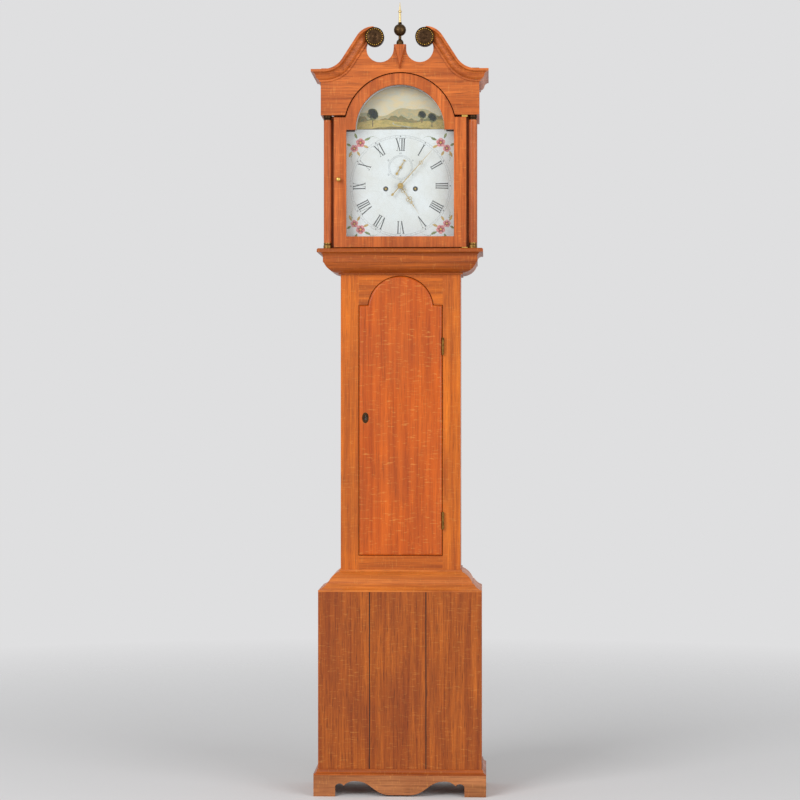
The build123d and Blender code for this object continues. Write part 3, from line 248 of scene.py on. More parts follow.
# %% Pine, brass, bronze, steel and iron
def pine(name, pale, deep, grain="z"):
    """Bare softwood: wide soft rings along the grain and a few knots of darker noise."""
    material, tree, shader = new_material(name)
    rings = cloud(tree, spread(tree, (24.0, 24.0, 500.0), ALONG[grain]), 4.0, 0.6, 0.8)
    dust = cloud(tree, spread(tree, (90.0, 90.0, 140.0), ALONG[grain]), 4.0, 0.6)
    colour = tint(tree, fade(tree, rings, 0.35, 0.65), linear(deep), linear(pale))
    dusty = tint(tree, fade(tree, dust, 0.4, 0.75, 0.0, 0.45), colour, linear("#8A7558"))
    tree.links.new(dusty, shader.inputs["Base Color"])
    shader.inputs["Roughness"].default_value = 0.78
    relief(tree, shader, rings, 0.5, 0.3)
    return material


def metal(name, bright, dull, roughness, patch_size, wear, metallic=1.0, grain=None, other=None):
    """A metal with cloudy tarnish. The grain is the size of its surface marks, in millimetres.
    Other is (z from, z to, colour): past the second height the piece is of another colour."""
    material, tree, shader = new_material(name)
    patches = cloud(tree, spread(tree, (patch_size,) * 3), 4.0, 0.6)
    tarnish = fade(tree, patches, 0.4, 0.68, 0.0, wear)
    colour = tint(tree, tarnish, linear(bright), linear(dull))
    if other:
        place = add_node(tree, "ShaderNodeTexCoord").outputs["Object"]
        height = add_node(tree, "ShaderNodeSeparateXYZ", {0: place}).outputs[2]
        colour = tint(tree, fade(tree, height, other[0], other[1]), colour, linear(other[2]))
    tree.links.new(colour, shader.inputs["Base Color"])
    shader.inputs["Metallic"].default_value = metallic
    gloss = fade(tree, patches, 0.35, 0.7, roughness, min(roughness + 0.2, 1.0))
    tree.links.new(gloss, shader.inputs["Roughness"])
    if grain:
        marks = cloud(tree, spread(tree, grain), 3.0, 0.6)
        relief(tree, shader, marks, 0.15, 0.4)
    return material


backboard_pine = pine("backboard_pine_bare", "#B08A5A", "#86643C")
seat_pine = pine("seatboard_pine_bare", "#A98253", "#7F5F3A", "x")
brass = metal("brass_lacquered", "#D6B25E", "#8E7136", 0.28, 9.0, 0.7, grain=(0.6, 0.6, 0.6))
plate_brass = metal("brass_plate_stoned", "#C9A658", "#927538", 0.34, 30.0, 0.6, grain=(6.0, 0.5, 0.5))
hand_brass = metal("brass_hand_pierced", "#B59A58", "#77602F", 0.36, 14.0, 0.6, grain=(0.8, 0.8, 0.8))
bronze = metal("brass_aged_dark", "#4A3624", "#211712", 0.42, 7.0, 0.8, grain=(0.9, 0.9, 0.9))
SPIRE_FOOT = 2.151
COLUMN_BASE_TOP = 1.6
finial_brass = metal(
    "finial_brass_part_cleaned", "#57432B", "#2A1E15", 0.4, 6.0, 0.8,
    grain=(0.8, 0.8, 0.8), other=(SPIRE_FOOT, SPIRE_FOOT + 0.001, "#CDB887"),
)
capital_bronze = metal(
    "capital_brass_dark", "#8E6C38", "#4A3820", 0.38, 6.0, 0.8,
    grain=(0.8, 0.8, 0.8), other=(COLUMN_BASE_TOP, COLUMN_BASE_TOP + 0.01, "#3A2A1C"),
)
hinge_brass = metal("hinge_brass_dull", "#7C5C2C", "#3E2C18", 0.42, 8.0, 0.8, grain=(0.8, 0.8, 0.8))
gilt = metal("gilt_beads_rubbed", "#C29A4A", "#6E5226", 0.35, 5.0, 0.8)
steel = metal("steel_bright", "#A9A9A6", "#6F6C68", 0.3, 12.0, 0.5, grain=(0.5, 0.5, 4.0))
iron = metal("iron_cast_painted", "#3B3A39", "#5A4A3C", 0.6, 18.0, 0.6, 0.6, (1.6, 1.6, 1.6))
bob_brass = metal("brass_bob_shell", "#BF9C52", "#7E6431", 0.3, 26.0, 0.6, grain=(0.7, 0.7, 0.7))
print("metals", brass.name, bronze.name, steel.name, iron.name)

# %% [markdown]
# The dial is a sheet of iron painted white, like japanned ware. The white has cooled to a pale
# blue grey, with faint clouds and a web of fine cracks. The glass over it is thin old crown
# glass. Shading it as a nearly clear skin lets the lamps reach the dial behind it.

# %% Painted dial, paints and glass
def paint(name, colour, second, patch_size=18.0, roughness=0.45, amount=0.6):
    """Oil paint laid by brush: two near colours in soft clouds, with a faint brush relief."""
    material, tree, shader = new_material(name)
    clouds = cloud(tree, spread(tree, (patch_size, patch_size, patch_size * 0.5)), 4.0, 0.6, 0.3)
    mixed = tint(tree, fade(tree, clouds, 0.38, 0.62, 0.0, amount), linear(colour), linear(second))
    tree.links.new(mixed, shader.inputs["Base Color"])
    shader.inputs["Roughness"].default_value = roughness
    strokes = cloud(tree, spread(tree, (4.0, 4.0, 1.2)), 2.0)
    relief(tree, shader, strokes, 0.06, 0.3)
    return material


def cracked_white(name):
    """Old white enamel paint: cool white, grey clouds, and cracks at the edges of cells."""
    material, tree, shader = new_material(name)
    clouds = cloud(tree, spread(tree, (70.0, 70.0, 70.0)), 4.0, 0.6)
    white = tint(tree, fade(tree, clouds, 0.35, 0.7, 0.0, 0.6), linear("#D2D9DB"), linear("#C2C4BC"))
    cells = add_node(
        tree,
        "ShaderNodeTexVoronoi",
        {"Vector": spread(tree, (16.0, 16.0, 16.0)), "Scale": 1.0, "Randomness": 1.0},
        feature="DISTANCE_TO_EDGE",
    )
    crack = fade(tree, cells.outputs["Distance"], 0.03, 0.0, 0.0, 0.22)
    aged = tint(tree, crack, white, linear("#9A9A90"))
    tree.links.new(aged, shader.inputs["Base Color"])
    shader.inputs["Roughness"].default_value = 0.4
    relief(tree, shader, cells.outputs["Distance"], 0.05, 0.2)
    return material


dial_white = cracked_white("dial_enamel_white")
numeral_black = paint("numeral_black", "#26282C", "#3A3C40", 12.0, 0.5)
crown_glass, glass_tree, glass_shader = new_material("hood_crown_glass")
ripple = cloud(glass_tree, spread(glass_tree, (60.0, 60.0, 90.0)), 2.0)
relief(glass_tree, glass_shader, ripple, 0.2, 0.2)
glass_shader.inputs["Base Color"].default_value = linear("#DCE6E2")
glass_shader.inputs["Alpha"].default_value = 0.04
glass_shader.inputs["Roughness"].default_value = 0.04
gut_material = paint("gut_line_twisted", "#B89A62", "#8A6B3C", 6.0, 0.5)
print("dial and glass", dial_white.name, crown_glass.name)

# %% [markdown]
# Each solid gets the finish of the real piece it stands for, save the base cap moulding, whose oak is
# paler as a painted highlight. The grain of a board runs along its length, so rails and mouldings take
# the finish whose grain runs across the clock.

# %% Finishes on the solids
FINISHES = {
    plinth_oak: ["plinth_boards"],
    moulding_oak: ["plinth_moulding", "throat_moulding", "hood_base_moulding"],
    cap_oak_painted_highlight: ["base_cap_moulding"],
    base_oak: ["base_front_boards"],
    # The base cap moulding's paler oak is a painted highlight along its top.
    base_side_oak: ["base_sides_and_floor"],
    stile_oak: ["trunk_stiles"],
    rail_oak: ["trunk_rails"],
    side_oak: ["trunk_sides"],
    door_oak: ["trunk_door"],
    hood_oak: ["hood_sides_and_jambs", "hood_door_frame", "hood_columns", "finial_block"],
    hood_rail_oak: ["hood_fascia", "swan_neck_cornice", "hood_roof_and_frieze"],
    backboard_pine: ["backboard"],
    seat_pine: ["seatboard"],
    brass: [
        "hood_door_knob", "hood_door_pivots",
        "centre_wheel", "hour_wheel", "minute_wheel", "third_wheel", "escape_wheel",
        "going_great_wheel", "striking_great_wheel", "strike_pin_wheel", "warning_wheel",
        "strike_fly", "going_barrel", "striking_barrel",
    ],
    plate_brass: ["front_plate", "back_plate_and_pillars", "back_cock"],
    hand_brass: ["hour_hand", "minute_hand", "seconds_hand"],
    bob_brass: ["pendulum_bob_and_nut"],
    bronze: ["rosettes", "keyhole_escutcheon"],
    capital_bronze: ["column_brasses"],
    finial_brass: ["finial"],
    hinge_brass: ["trunk_hinges_case", "trunk_hinges_door"],
    steel: [
        "dial_feet", "pendulum_rod", "anchor_and_crutch", "bell_hammer", "trunk_lock",
        "lock_bolt", "bell_and_stand",
    ],
    iron: ["going_weight_and_pulley", "striking_weight_and_pulley"],
    gut_material: ["going_line", "striking_line"],
    dial_white: ["dial"],
    crown_glass: ["hood_door_glass"],
}
for finish, names in FINISHES.items():
    for name in names:
        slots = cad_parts[name].data.materials
        slots.clear()
        slots.append(finish)
dressed = {name for names in FINISHES.values() for name in names}
print("nodes with no finish", sorted(set(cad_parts) - dressed))

# %% [markdown]
# The clock stands on pale paper and is looked at from every side, so no sheet may stand behind
# it. The floor is a disc of paper that fades out with distance from the clock, and the room
# beyond it is the same grey, so there is neither an edge nor a horizon.

# %% Floor
FLOOR_RADIUS = 4.2
FADE_START = 0.9
FLOOR_STEPS = 72


def paper_disc(name, radius):
    """A flat fan of faces: a centre, and points at even angles at one radius."""
    angle = np.linspace(0, 2 * math.pi, FLOOR_STEPS, endpoint=False)
    rim = np.column_stack((np.cos(angle) * radius, np.sin(angle) * radius, np.zeros(FLOOR_STEPS)))
    first = np.arange(FLOOR_STEPS)
    faces = np.column_stack((np.zeros(FLOOR_STEPS, int), first + 1, (first + 1) % FLOOR_STEPS + 1))
    mesh = bpy.data.meshes.new(name)
    mesh.from_pydata(np.vstack(((0.0, 0.0, 0.0), rim)).tolist(), [], faces.tolist())
    disc = bpy.data.objects.new(name, mesh)
    bpy.context.scene.collection.objects.link(disc)
    return disc


paper, paper_tree, paper_shader = new_material("floor_paper_grey")
paper_place = add_node(paper_tree, "ShaderNodeTexCoord").outputs["Object"]
away = add_node(paper_tree, "ShaderNodeVectorMath", {0: paper_place}, operation="LENGTH")
paper_left = fade(paper_tree, away.outputs["Value"], FADE_START, FLOOR_RADIUS, 1.0, 0.0)
paper_tree.links.new(paper_left, paper_shader.inputs["Alpha"])
paper_shader.inputs["Base Color"].default_value = linear("#DEDEDF")
paper_shader.inputs["Roughness"].default_value = 0.9
paper_shader.inputs["Specular IOR Level"].default_value = 0.1
floor = paper_disc("paper_floor", FLOOR_RADIUS)
floor.data.materials.append(paper)
print("floor", floor.name)

# %% [markdown]
# The light is soft and comes mostly from the front and the left, as from a large window, with a
# weaker fill from the right. The room adds an even grey so that no side falls to black, and the
# camera, and whatever glass and metal mirror, see it a little paler than it lights the clock.

# %% Light
def soft_lamp(name, place, aim, size, power):
    """A square area lamp at a place, turned to face a point."""
    data = bpy.data.lights.new(name, "AREA")
    data.shape = "SQUARE"
    data.size = size
    data.energy = power
    lamp = bpy.data.objects.new(name, data)
    bpy.context.scene.collection.objects.link(lamp)
    lamp.location = place
    towards = np.array(aim, float) - np.array(place, float)
    lamp.rotation_euler = (
        math.atan2(math.hypot(towards[0], towards[1]), -towards[2]),
        0.0,
        math.atan2(-towards[0], towards[1]),
    )
    return lamp


KEY_POWER = 165.0
FILL_POWER = 125.0
ROOM_STRENGTH = 0.62
soft_lamp("window_light", (-2.8, -4.2, 3.2), (0.0, 0.0, 1.1), 2.6, KEY_POWER)
soft_lamp("fill_light", (3.4, -4.0, 2.0), (0.0, 0.0, 1.1), 3.0, FILL_POWER)
world = bpy.data.worlds.new("grey_room")
world.use_nodes = True
room_tree = world.node_tree
room_tree.nodes.clear()
room_light = add_node(
    room_tree, "ShaderNodeBackground", {"Color": linear("#E9E9E9"), "Strength": ROOM_STRENGTH}
)
room_seen = add_node(room_tree, "ShaderNodeBackground", {"Color": linear("#DFDFE0"), "Strength": 1.0})
ray = add_node(room_tree, "ShaderNodeLightPath").outputs
looked = add_node(
    room_tree,
    "ShaderNodeMath",
    {0: ray["Is Camera Ray"], 1: ray["Is Glossy Ray"]},
    operation="MAXIMUM",
)
looked = add_node(
    room_tree,
    "ShaderNodeMath",
    {0: looked.outputs[0], 1: ray["Is Transmission Ray"]},
    operation="MAXIMUM",
)
room = add_node(
    room_tree,
    "ShaderNodeMixShader",
    {0: looked.outputs[0], 1: room_light.outputs[0], 2: room_seen.outputs[0]},
)
add_node(room_tree, "ShaderNodeOutputWorld", {"Surface": room.outputs[0]})
bpy.context.scene.world = world
print("lamps", KEY_POWER, FILL_POWER)

# %% [markdown]
# The painting on the dial is made as thin plates, each a flat outline given a skin of paint
# 0.15 mm thick, so that the numerals are real shapes and stay sharp from any distance. An
# outline is a list of points in the plane of the dial, and one function closes it into a plate.

# %% Painted plates
DIAL_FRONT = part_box("dial")[0].y
DIAL_CENTRE = np.array((0.0, 1.7))
PAINT_SKIN = 0.00015


def plates(name, outlines, level, finish):
    """Closed plates from outlines (x, z): a front polygon, a back polygon, and a side for each
    edge. The front stands out from the dial by the level, counted in skins of paint."""
    points, faces = [], []
    front = DIAL_FRONT - level * PAINT_SKIN
    back = DIAL_FRONT - (level - 1) * PAINT_SKIN + 0.00002
    for outline in outlines:
        outline = np.asarray(outline, float)
        rolled = np.roll(outline, -1, axis=0)
        area = np.sum(outline[:, 0] * rolled[:, 1] - rolled[:, 0] * outline[:, 1])
        if area < 0:
            outline = outline[::-1]
        count, base = len(outline), len(points)
        for y in (front, back):
            points += np.column_stack((outline[:, 0], np.full(count, y), outline[:, 1])).tolist()
        faces.append([base + i for i in range(count)])
        faces.append([base + count + i for i in reversed(range(count))])
        for i in range(count):
            j = (i + 1) % count
            faces.append([base + i, base + count + i, base + count + j, base + j])
    mesh = bpy.data.meshes.new(name)
    mesh.from_pydata(points, [], faces)
    mesh.materials.append(finish)
    piece = bpy.data.objects.new(name, mesh)
    bpy.context.scene.collection.objects.link(piece)
    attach(piece, "case")
    return piece


def ring_parts(centre, inner, outer, parts=120):
    """A flat ring cut in twelve strips: each runs along its outer arc and back on the inner."""
    strips = []
    for k in range(12):
        angle = np.linspace(k * math.pi / 6, (k + 1) * math.pi / 6, parts // 12 + 1)
        far = np.column_stack((np.cos(angle), np.sin(angle))) * outer + centre
        near = np.column_stack((np.cos(angle), np.sin(angle)))[::-1] * inner + centre
        strips.append(np.vstack((far, near)))
    return strips


def spot(centre, width, height=None, turn=0.0, count=14):
    """An ellipse of points about a centre, turned by an angle."""
    angle = np.linspace(0, 2 * math.pi, count, endpoint=False)
    shape = np.column_stack((np.cos(angle) * width / 2, np.sin(angle) * (height or width) / 2))
    c, s = math.cos(turn), math.sin(turn)
    return shape @ np.array(((c, s), (-s, c))) + centre


print("dial front at", round(DIAL_FRONT, 4))

# %% [markdown]
# The hours are roman numerals that stand with their feet towards the centre. A painter draws
# each as thick and thin strokes with hairline serifs. Here a stroke is a slanted bar in a small
# frame of its own, one unit high, and every numeral is then bent to its hour's direction.

# %% Roman numerals
NUMERAL_INNER = 0.0985
NUMERAL_OUTER = 0.1335
THICK = 0.0031
THIN = 0.0009
LETTER_WIDTH = {"I": 0.0066, "V": 0.0150, "X": 0.0150}
HOURS = ("XII", "I", "II", "III", "IIII", "V", "VI", "VII", "VIII", "IX", "X", "XI")


def stroke(x_foot, x_head, width):
    """A bar from foot (height 0) to head (height 1), as wide as width at both ends."""
    half = width / 2
    return np.array(((x_foot - half, 0), (x_foot + half, 0), (x_head + half, 1), (x_head - half, 1)))


def serif(x, width, at_head):
    """A hairline across the foot or the head of a stroke."""
    low, high = (0.965, 1.0) if at_head else (0.0, 0.035)
    half = width / 2
    return np.array(((x - half, low), (x + half, low), (x + half, high), (x - half, high)))


def letter(kind, x):
    """The strokes of one letter whose left edge is at x."""
    width = LETTER_WIDTH[kind]
    mid = x + width / 2
    left, right = x + width * 0.17, x + width * 0.83
    if kind == "I":
        return [stroke(mid, mid, THICK), serif(mid, width, True), serif(mid, width, False)]
    heads = [serif(left, 0.0066, True), serif(right, 0.0050, True)]
    if kind == "V":
        return [stroke(mid, left, THICK), stroke(mid, right, THIN)] + heads
    feet = [serif(left, 0.0050, False), serif(right, 0.0066, False)]
    return [stroke(right, left, THICK), stroke(left, right, THIN)] + heads + feet


def radial(shape, direction):
    """Places a shape whose x runs clockwise round the dial and whose height runs outwards."""
    radius = NUMERAL_INNER + shape[:, 1] * (NUMERAL_OUTER - NUMERAL_INNER)
    widening = 0.86 + 0.14 * shape[:, 1]
    out = np.array((math.sin(direction), math.cos(direction)))
    side = np.array((math.cos(direction), -math.sin(direction)))
    return DIAL_CENTRE + radius[:, None] * out + (shape[:, 0] * widening)[:, None] * side


numerals = []
for hour, word in enumerate(HOURS):
    total = sum(LETTER_WIDTH[kind] for kind in word)
    x = -total / 2
    for kind in word:
        for shape in letter(kind, x):
            numerals.append(radial(shape, hour * math.pi / 6))
        x += LETTER_WIDTH[kind]
plates("roman_numerals", numerals, 1, numeral_black)
print("numeral strokes", len(numerals))

# %% [markdown]
# Outside the hours runs a ring of sixty dots between two fine lines, with a larger mark at each
# five minutes. Above the centre is a small seconds ring with its own dots. The lines are under
# half a millimetre wide on the real dial and are drawn slightly wider here, so that they show.

# %% Minute ring and seconds ring
SECONDS_CENTRE = np.array((0.0, 1.752))
LINE_WIDTH = 0.0005
minute_grey = paint("minute_grey_paint", "#6E7478", "#8A8F92", 14.0, 0.5)
minute_lines = ring_parts(DIAL_CENTRE, 0.1362, 0.1362 + LINE_WIDTH, 144)
minute_lines += ring_parts(DIAL_CENTRE, 0.1418, 0.1418 + LINE_WIDTH, 144)
minute_lines += ring_parts(SECONDS_CENTRE, 0.0300, 0.0300 + LINE_WIDTH, 96)
minute_lines += ring_parts(SECONDS_CENTRE, 0.0340, 0.0340 + LINE_WIDTH, 96)
plates("ring_lines", minute_lines, 1, minute_grey)
dots, marks = [], []
for minute in range(60):
    angle = minute * math.pi / 30
    out = np.array((math.sin(angle), math.cos(angle)))
    place = DIAL_CENTRE + out * 0.1392
    if minute % 5:
        dots.append(spot(place, 0.0016))
    else:
        marks.append(spot(place, 0.0040, 0.0026, -angle))
    dots.append(spot(SECONDS_CENTRE + out * 0.0322, 0.0011, count=8))
plates("minute_dots", dots, 1, minute_grey)
plates("five_minute_marks", marks, 1, numeral_black)


def figures(words, centre, radius, height):
    """Small figures round a ring: the built-in letters, flattened to their front faces' outline
    by a thin extrusion, then placed by the middle of each word."""
    parts = []
    for k, word in enumerate(words):
        text = bpy.data.curves.new("figure", "FONT")
        text.body = word
        text.size = height
        text.extrude = PAINT_SKIN
        text.resolution_u = 3
        carrier = bpy.data.objects.new("figure", text)
        bpy.context.scene.collection.objects.link(carrier)
        bpy.context.view_layer.update()
        mesh = bpy.data.meshes.new_from_object(carrier)
        flat = np.array([v.co for v in mesh.vertices])
        middle = (flat.max(0) + flat.min(0)) / 2
        angle = 2 * math.pi * k / len(words)
        spin = -angle if math.cos(angle) > -0.5 else math.pi - angle
        c, s = math.cos(spin), math.sin(spin)
        moved = (flat - middle) @ np.array(((c, s, 0), (-s, c, 0), (0, 0, 1)))
        x = centre[0] + math.sin(angle) * radius + moved[:, 0]
        z = centre[1] + math.cos(angle) * radius + moved[:, 1]
        y = DIAL_FRONT - PAINT_SKIN * 0.5 - moved[:, 2]
        polygons = [list(face.vertices) for face in mesh.polygons]
        parts.append((np.column_stack((x, y, z)), polygons))
        bpy.data.objects.remove(carrier)
        bpy.data.curves.remove(text)
        bpy.data.meshes.remove(mesh)
    points = np.vstack([part[0] for part in parts])
    starts = np.cumsum([0] + [len(part[0]) for part in parts[:-1]])
    faces = [[int(start) + i for i in face] for start, part in zip(starts, parts) for face in part[1]]
    mesh = bpy.data.meshes.new("seconds_figures")
    mesh.from_pydata(points.tolist(), [], faces)
    mesh.materials.append(minute_grey)
    piece = bpy.data.objects.new("seconds_figures", mesh)
    bpy.context.scene.collection.objects.link(piece)
    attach(piece, "case")
    return piece


figures(("60", "10", "20", "30", "40", "50"), SECONDS_CENTRE, 0.0395, 0.0065)
print("dots", len(dots), "marks", len(marks))

# %% [markdown]
# Each winding hole has a black painted ring round it, which hides chips in the paint. The key
# squares of the barrels show through the holes.

# %% Winding hole rings
WINDING_HOLES = (np.array((-0.0415, 1.692)), np.array((0.0415, 1.692)))
rings = [strip for hole in WINDING_HOLES for strip in ring_parts(hole, 0.0051, 0.0072, 48)]
plates("winding_rings", rings, 1, numeral_black)
print("winding rings", len(WINDING_HOLES))

# %% [markdown]
# In each corner of the square part is a spray of two pink roses with yellow centres and olive
# leaves, with dark scrolls of dots. A rose is five overlapping petals round a centre, and a
# leaf is a pointed oval. One corner is drawn and the other three are its mirror images.

# %% Corner sprays
SPRAY_CORNER = np.array((0.1180, 0.1180))
rose_pale = paint("rose_paint_pale", "#E09A9A", "#C96A6E", 7.0, 0.45, 0.9)
rose_deep = paint("rose_paint_deep", "#B8484E", "#96363E", 5.0, 0.45, 0.9)
rose_heart = paint("rose_heart_yellow", "#E3BC4E", "#C08E2E", 3.0, 0.45, 0.9)
leaf_olive = paint("leaf_paint_olive", "#7E8A4E", "#4F5F36", 8.0, 0.45, 0.9)
leaf_gold = paint("leaf_paint_gold", "#C2A45A", "#94783A", 6.0, 0.4, 0.9)


def leaf(centre, length, width, turn, count=9):
    """A pointed oval: its half width is the sine of the way along it, to the power 0.8."""
    along = np.linspace(0, math.pi, count)
    half = np.sin(along) ** 0.8 * width / 2
    x = np.concatenate((np.linspace(0, length, count), np.linspace(length, 0, count)[1:-1]))
    y = np.concatenate((half, -half[::-1][1:-1]))
    c, s = math.cos(turn), math.sin(turn)
    return np.column_stack((x * c - y * s, x * s + y * c)) + centre


def rose(centre, radius, turn):
    """Outer petals, inner petals and a heart, as three lists of outlines."""
    outer, inner = [], []
    for k in range(5):
        angle = turn + k * 2 * math.pi / 5
        place = centre + radius * 0.56 * np.array((math.cos(angle), math.sin(angle)))
        outer.append(spot(place, radius * 1.05, radius * 0.92, angle + 1.2))
        place = centre + radius * 0.27 * np.array((math.cos(angle + 0.6), math.sin(angle + 0.6)))
        inner.append(spot(place, radius * 0.62, radius * 0.5, angle))
    return outer, inner, [spot(centre, radius * 0.46)]


layers = {"outer": [], "inner": [], "heart": [], "olive": [], "gold": [], "scroll": []}
ROSES = (((-0.0055, 0.0035), 0.0125, 0.3), ((0.0115, -0.0125), 0.0105, 1.0))
LEAVES = (
    (-0.016, 0.010, 0.019, 2.75), (-0.013, -0.004, 0.017, 3.55), (0.004, 0.015, 0.017, 1.15),
    (0.019, -0.020, 0.019, -1.15), (0.021, -0.006, 0.014, 0.55), (0.004, -0.020, 0.016, -2.1),
)
LEAF_WIDTH = 0.0068
for side_x in (-1, 1):
    for side_z in (-1, 1):
        group = {key: [] for key in layers}
        for offset, radius, turn in ROSES:
            outer, inner, heart = rose(SPRAY_CORNER + np.array(offset), radius, turn)
            group["outer"] += outer
            group["inner"] += inner
            group["heart"] += heart
        for k, (x, z, length, turn) in enumerate(LEAVES):
            shape = leaf(SPRAY_CORNER + np.array((x, z)), length, LEAF_WIDTH, turn)
            group["gold" if k % 2 else "olive"].append(shape)
        for k in range(7):
            angle = 0.4 * k
            step = np.array((-0.030 - 0.0042 * k, 0.018 + 0.0028 * math.sin(angle * 1.6)))
            group["scroll"].append(spot(SPRAY_CORNER + step, 0.0030 - 0.0003 * k))
            group["scroll"].append(spot(SPRAY_CORNER + step[::-1], 0.0030 - 0.0003 * k))
        for key, shapes in group.items():
            layers[key] += [shape * (side_x, side_z) + DIAL_CENTRE for shape in shapes]
plates("leaves_olive", layers["olive"], 1, leaf_olive)
plates("leaves_gold", layers["gold"], 2, leaf_gold)
plates("scroll_dots", layers["scroll"], 1, leaf_olive)
for level, key, finish in ((3, "outer", rose_pale), (4, "inner", rose_deep), (5, "heart", rose_heart)):
    plates("rose_" + key, layers[key], level, finish)
print("leaves", len(layers["olive"]) + len(layers["gold"]), "petals", len(layers["outer"]))

# %% [markdown]
# The arch above the dial holds a small landscape in oils. It is built from the back like stage
# scenery: sky, far hills, a wood, a meadow, a stream and three trees, each a plate one skin of
# paint nearer. The sky and the bands of land are clipped to the arch, whose edge is a circle above a
# level sill.

# %% Arch landscape
ARCH_CENTRE = np.array((0.0, 1.855))
ARCH_RADIUS = 0.1225
SILL = 1.8585
SPRING_HALF = math.sqrt(ARCH_RADIUS**2 - (SILL - ARCH_CENTRE[1]) ** 2)


def arch_top(x):
    """Height of the picture's edge at x: the circle of the arch."""
    return ARCH_CENTRE[1] + np.sqrt(np.maximum(ARCH_RADIUS**2 - x**2, 0))


def land(height, waves, count=60):
    """Ground from the sill to a wavy skyline, clipped to the arch. The waves are (size, number
    of waves across, start) and are added up."""
    x = np.linspace(-SPRING_HALF, SPRING_HALF, count)
    top = SILL + height + sum(
        size * np.sin(turns * x / SPRING_HALF * math.pi + start) for size, turns, start in waves
    )
    top = np.minimum(np.maximum(top, SILL + 0.0004), arch_top(x) + 1e-6)
    top = np.maximum(top, SILL + 0.0001)
    return np.vstack((np.column_stack((x, np.full(count, SILL))), np.column_stack((x, top))[::-1]))


def picture_paint(name, colour, second, size):
    """Picture paint: a little glossier than the numerals, with strong clouds."""
    return paint(name, colour, second, size, 0.4, 0.9)


angles = np.linspace(0, math.pi, 72)
sky_line = ARCH_CENTRE + ARCH_RADIUS * np.column_stack((np.cos(angles), np.sin(angles)))
sky_line = sky_line[sky_line[:, 1] >= SILL]
sky_paint = picture_paint("sky_paint", "#B9B9A6", "#CBB98E", 26.0)
hill_paint = picture_paint("far_hill_paint", "#8E9274", "#B09A66", 14.0)
wood_paint = picture_paint("wood_paint", "#565F30", "#8A6F38", 7.0)
meadow_paint = picture_paint("meadow_paint", "#8F8440", "#B49C52", 10.0)
near_paint = picture_paint("near_bank_paint", "#544A22", "#7A6A34", 7.0)
stream_paint = picture_paint("stream_paint", "#A9B0A4", "#7C8A84", 6.0)
tree_paint = picture_paint("tree_paint", "#3E4A26", "#76702E", 4.0)
bark_paint = picture_paint("bark_paint", "#5A4630", "#3C2E20", 5.0)
plates("sky", [sky_line], 1, sky_paint)
plates("far_hills", [land(0.050, ((0.010, 1.3, 0.6), (0.004, 3.1, 2.0)))], 2, hill_paint)
wood_line = land(0.032, ((0.006, 2.2, 2.2), (0.0025, 9.0, 0.4), (0.0015, 17.0, 1.0)))
plates("wood", [wood_line], 3, wood_paint)
plates("meadow", [land(0.023, ((0.004, 1.4, 3.6), (0.001, 5.0, 0.0)))], 4, meadow_paint)
stream_way = np.linspace(0, 1, 16)
stream_x = 0.030 - 0.052 * stream_way + 0.010 * np.sin(stream_way * 6.5)
stream_half = 0.0085 * (1 - stream_way) ** 1.3 + 0.0008
stream_z = SILL + 0.0005 + 0.019 * stream_way
stream = np.vstack(
    (
        np.column_stack((stream_x - stream_half, stream_z)),
        np.column_stack((stream_x + stream_half, stream_z))[::-1],
    )
)
plates("stream", [stream], 5, stream_paint)
plates("near_bank", [land(0.004, ((0.0035, 1.0, 1.8), (0.0008, 7.0, 0.2)))], 6, near_paint)
TREES = (
    (-0.078, 0.008, 0.052, 0.026),
    (0.060, 0.018, 0.034, 0.020),
    (0.088, 0.006, 0.040, 0.022),
)
trunks, crowns = [], []
for x, foot, height, width in TREES:
    base = np.array((x, SILL + foot))
    fork = height * 0.6
    trunks.append(np.array(((-0.0012, 0), (0.0012, 0), (0.0007, fork), (-0.0007, fork))) + base)
    for k in range(7):
        angle = k * 2.4
        across, up = math.cos(angle) * width * 0.28, height * (0.66 + math.sin(angle) * 0.17)
        place = base + np.array((across, up))
        crowns.append(spot(place, width * 0.62, height * 0.36, 0.3 * k))
plates("tree_trunks", trunks, 7, bark_paint)
plates("tree_crowns", crowns, 8, tree_paint)
edge = ring_parts(ARCH_CENTRE, ARCH_RADIUS, ARCH_RADIUS + 0.0012, 144)[:6]
plates("picture_border", edge, 1, leaf_gold)
print("trees", len(TREES))

# %% [markdown]
# The gut lines run from each barrel down round the pulley of its weight and up to the seat
# board. Seen as a mesh, a line is a thin tube carried along two straight runs and a half circle.
# It replaces the solid line.

# %% Gut lines
GUT_RADIUS = 0.00075
BARREL_HEIGHT = 1.6915
SEAT_HEIGHT = 1.6125
PULLEY_HEIGHT = 1.536
LINE_Y = (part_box("going_line")[0].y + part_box("going_line")[1].y) / 2


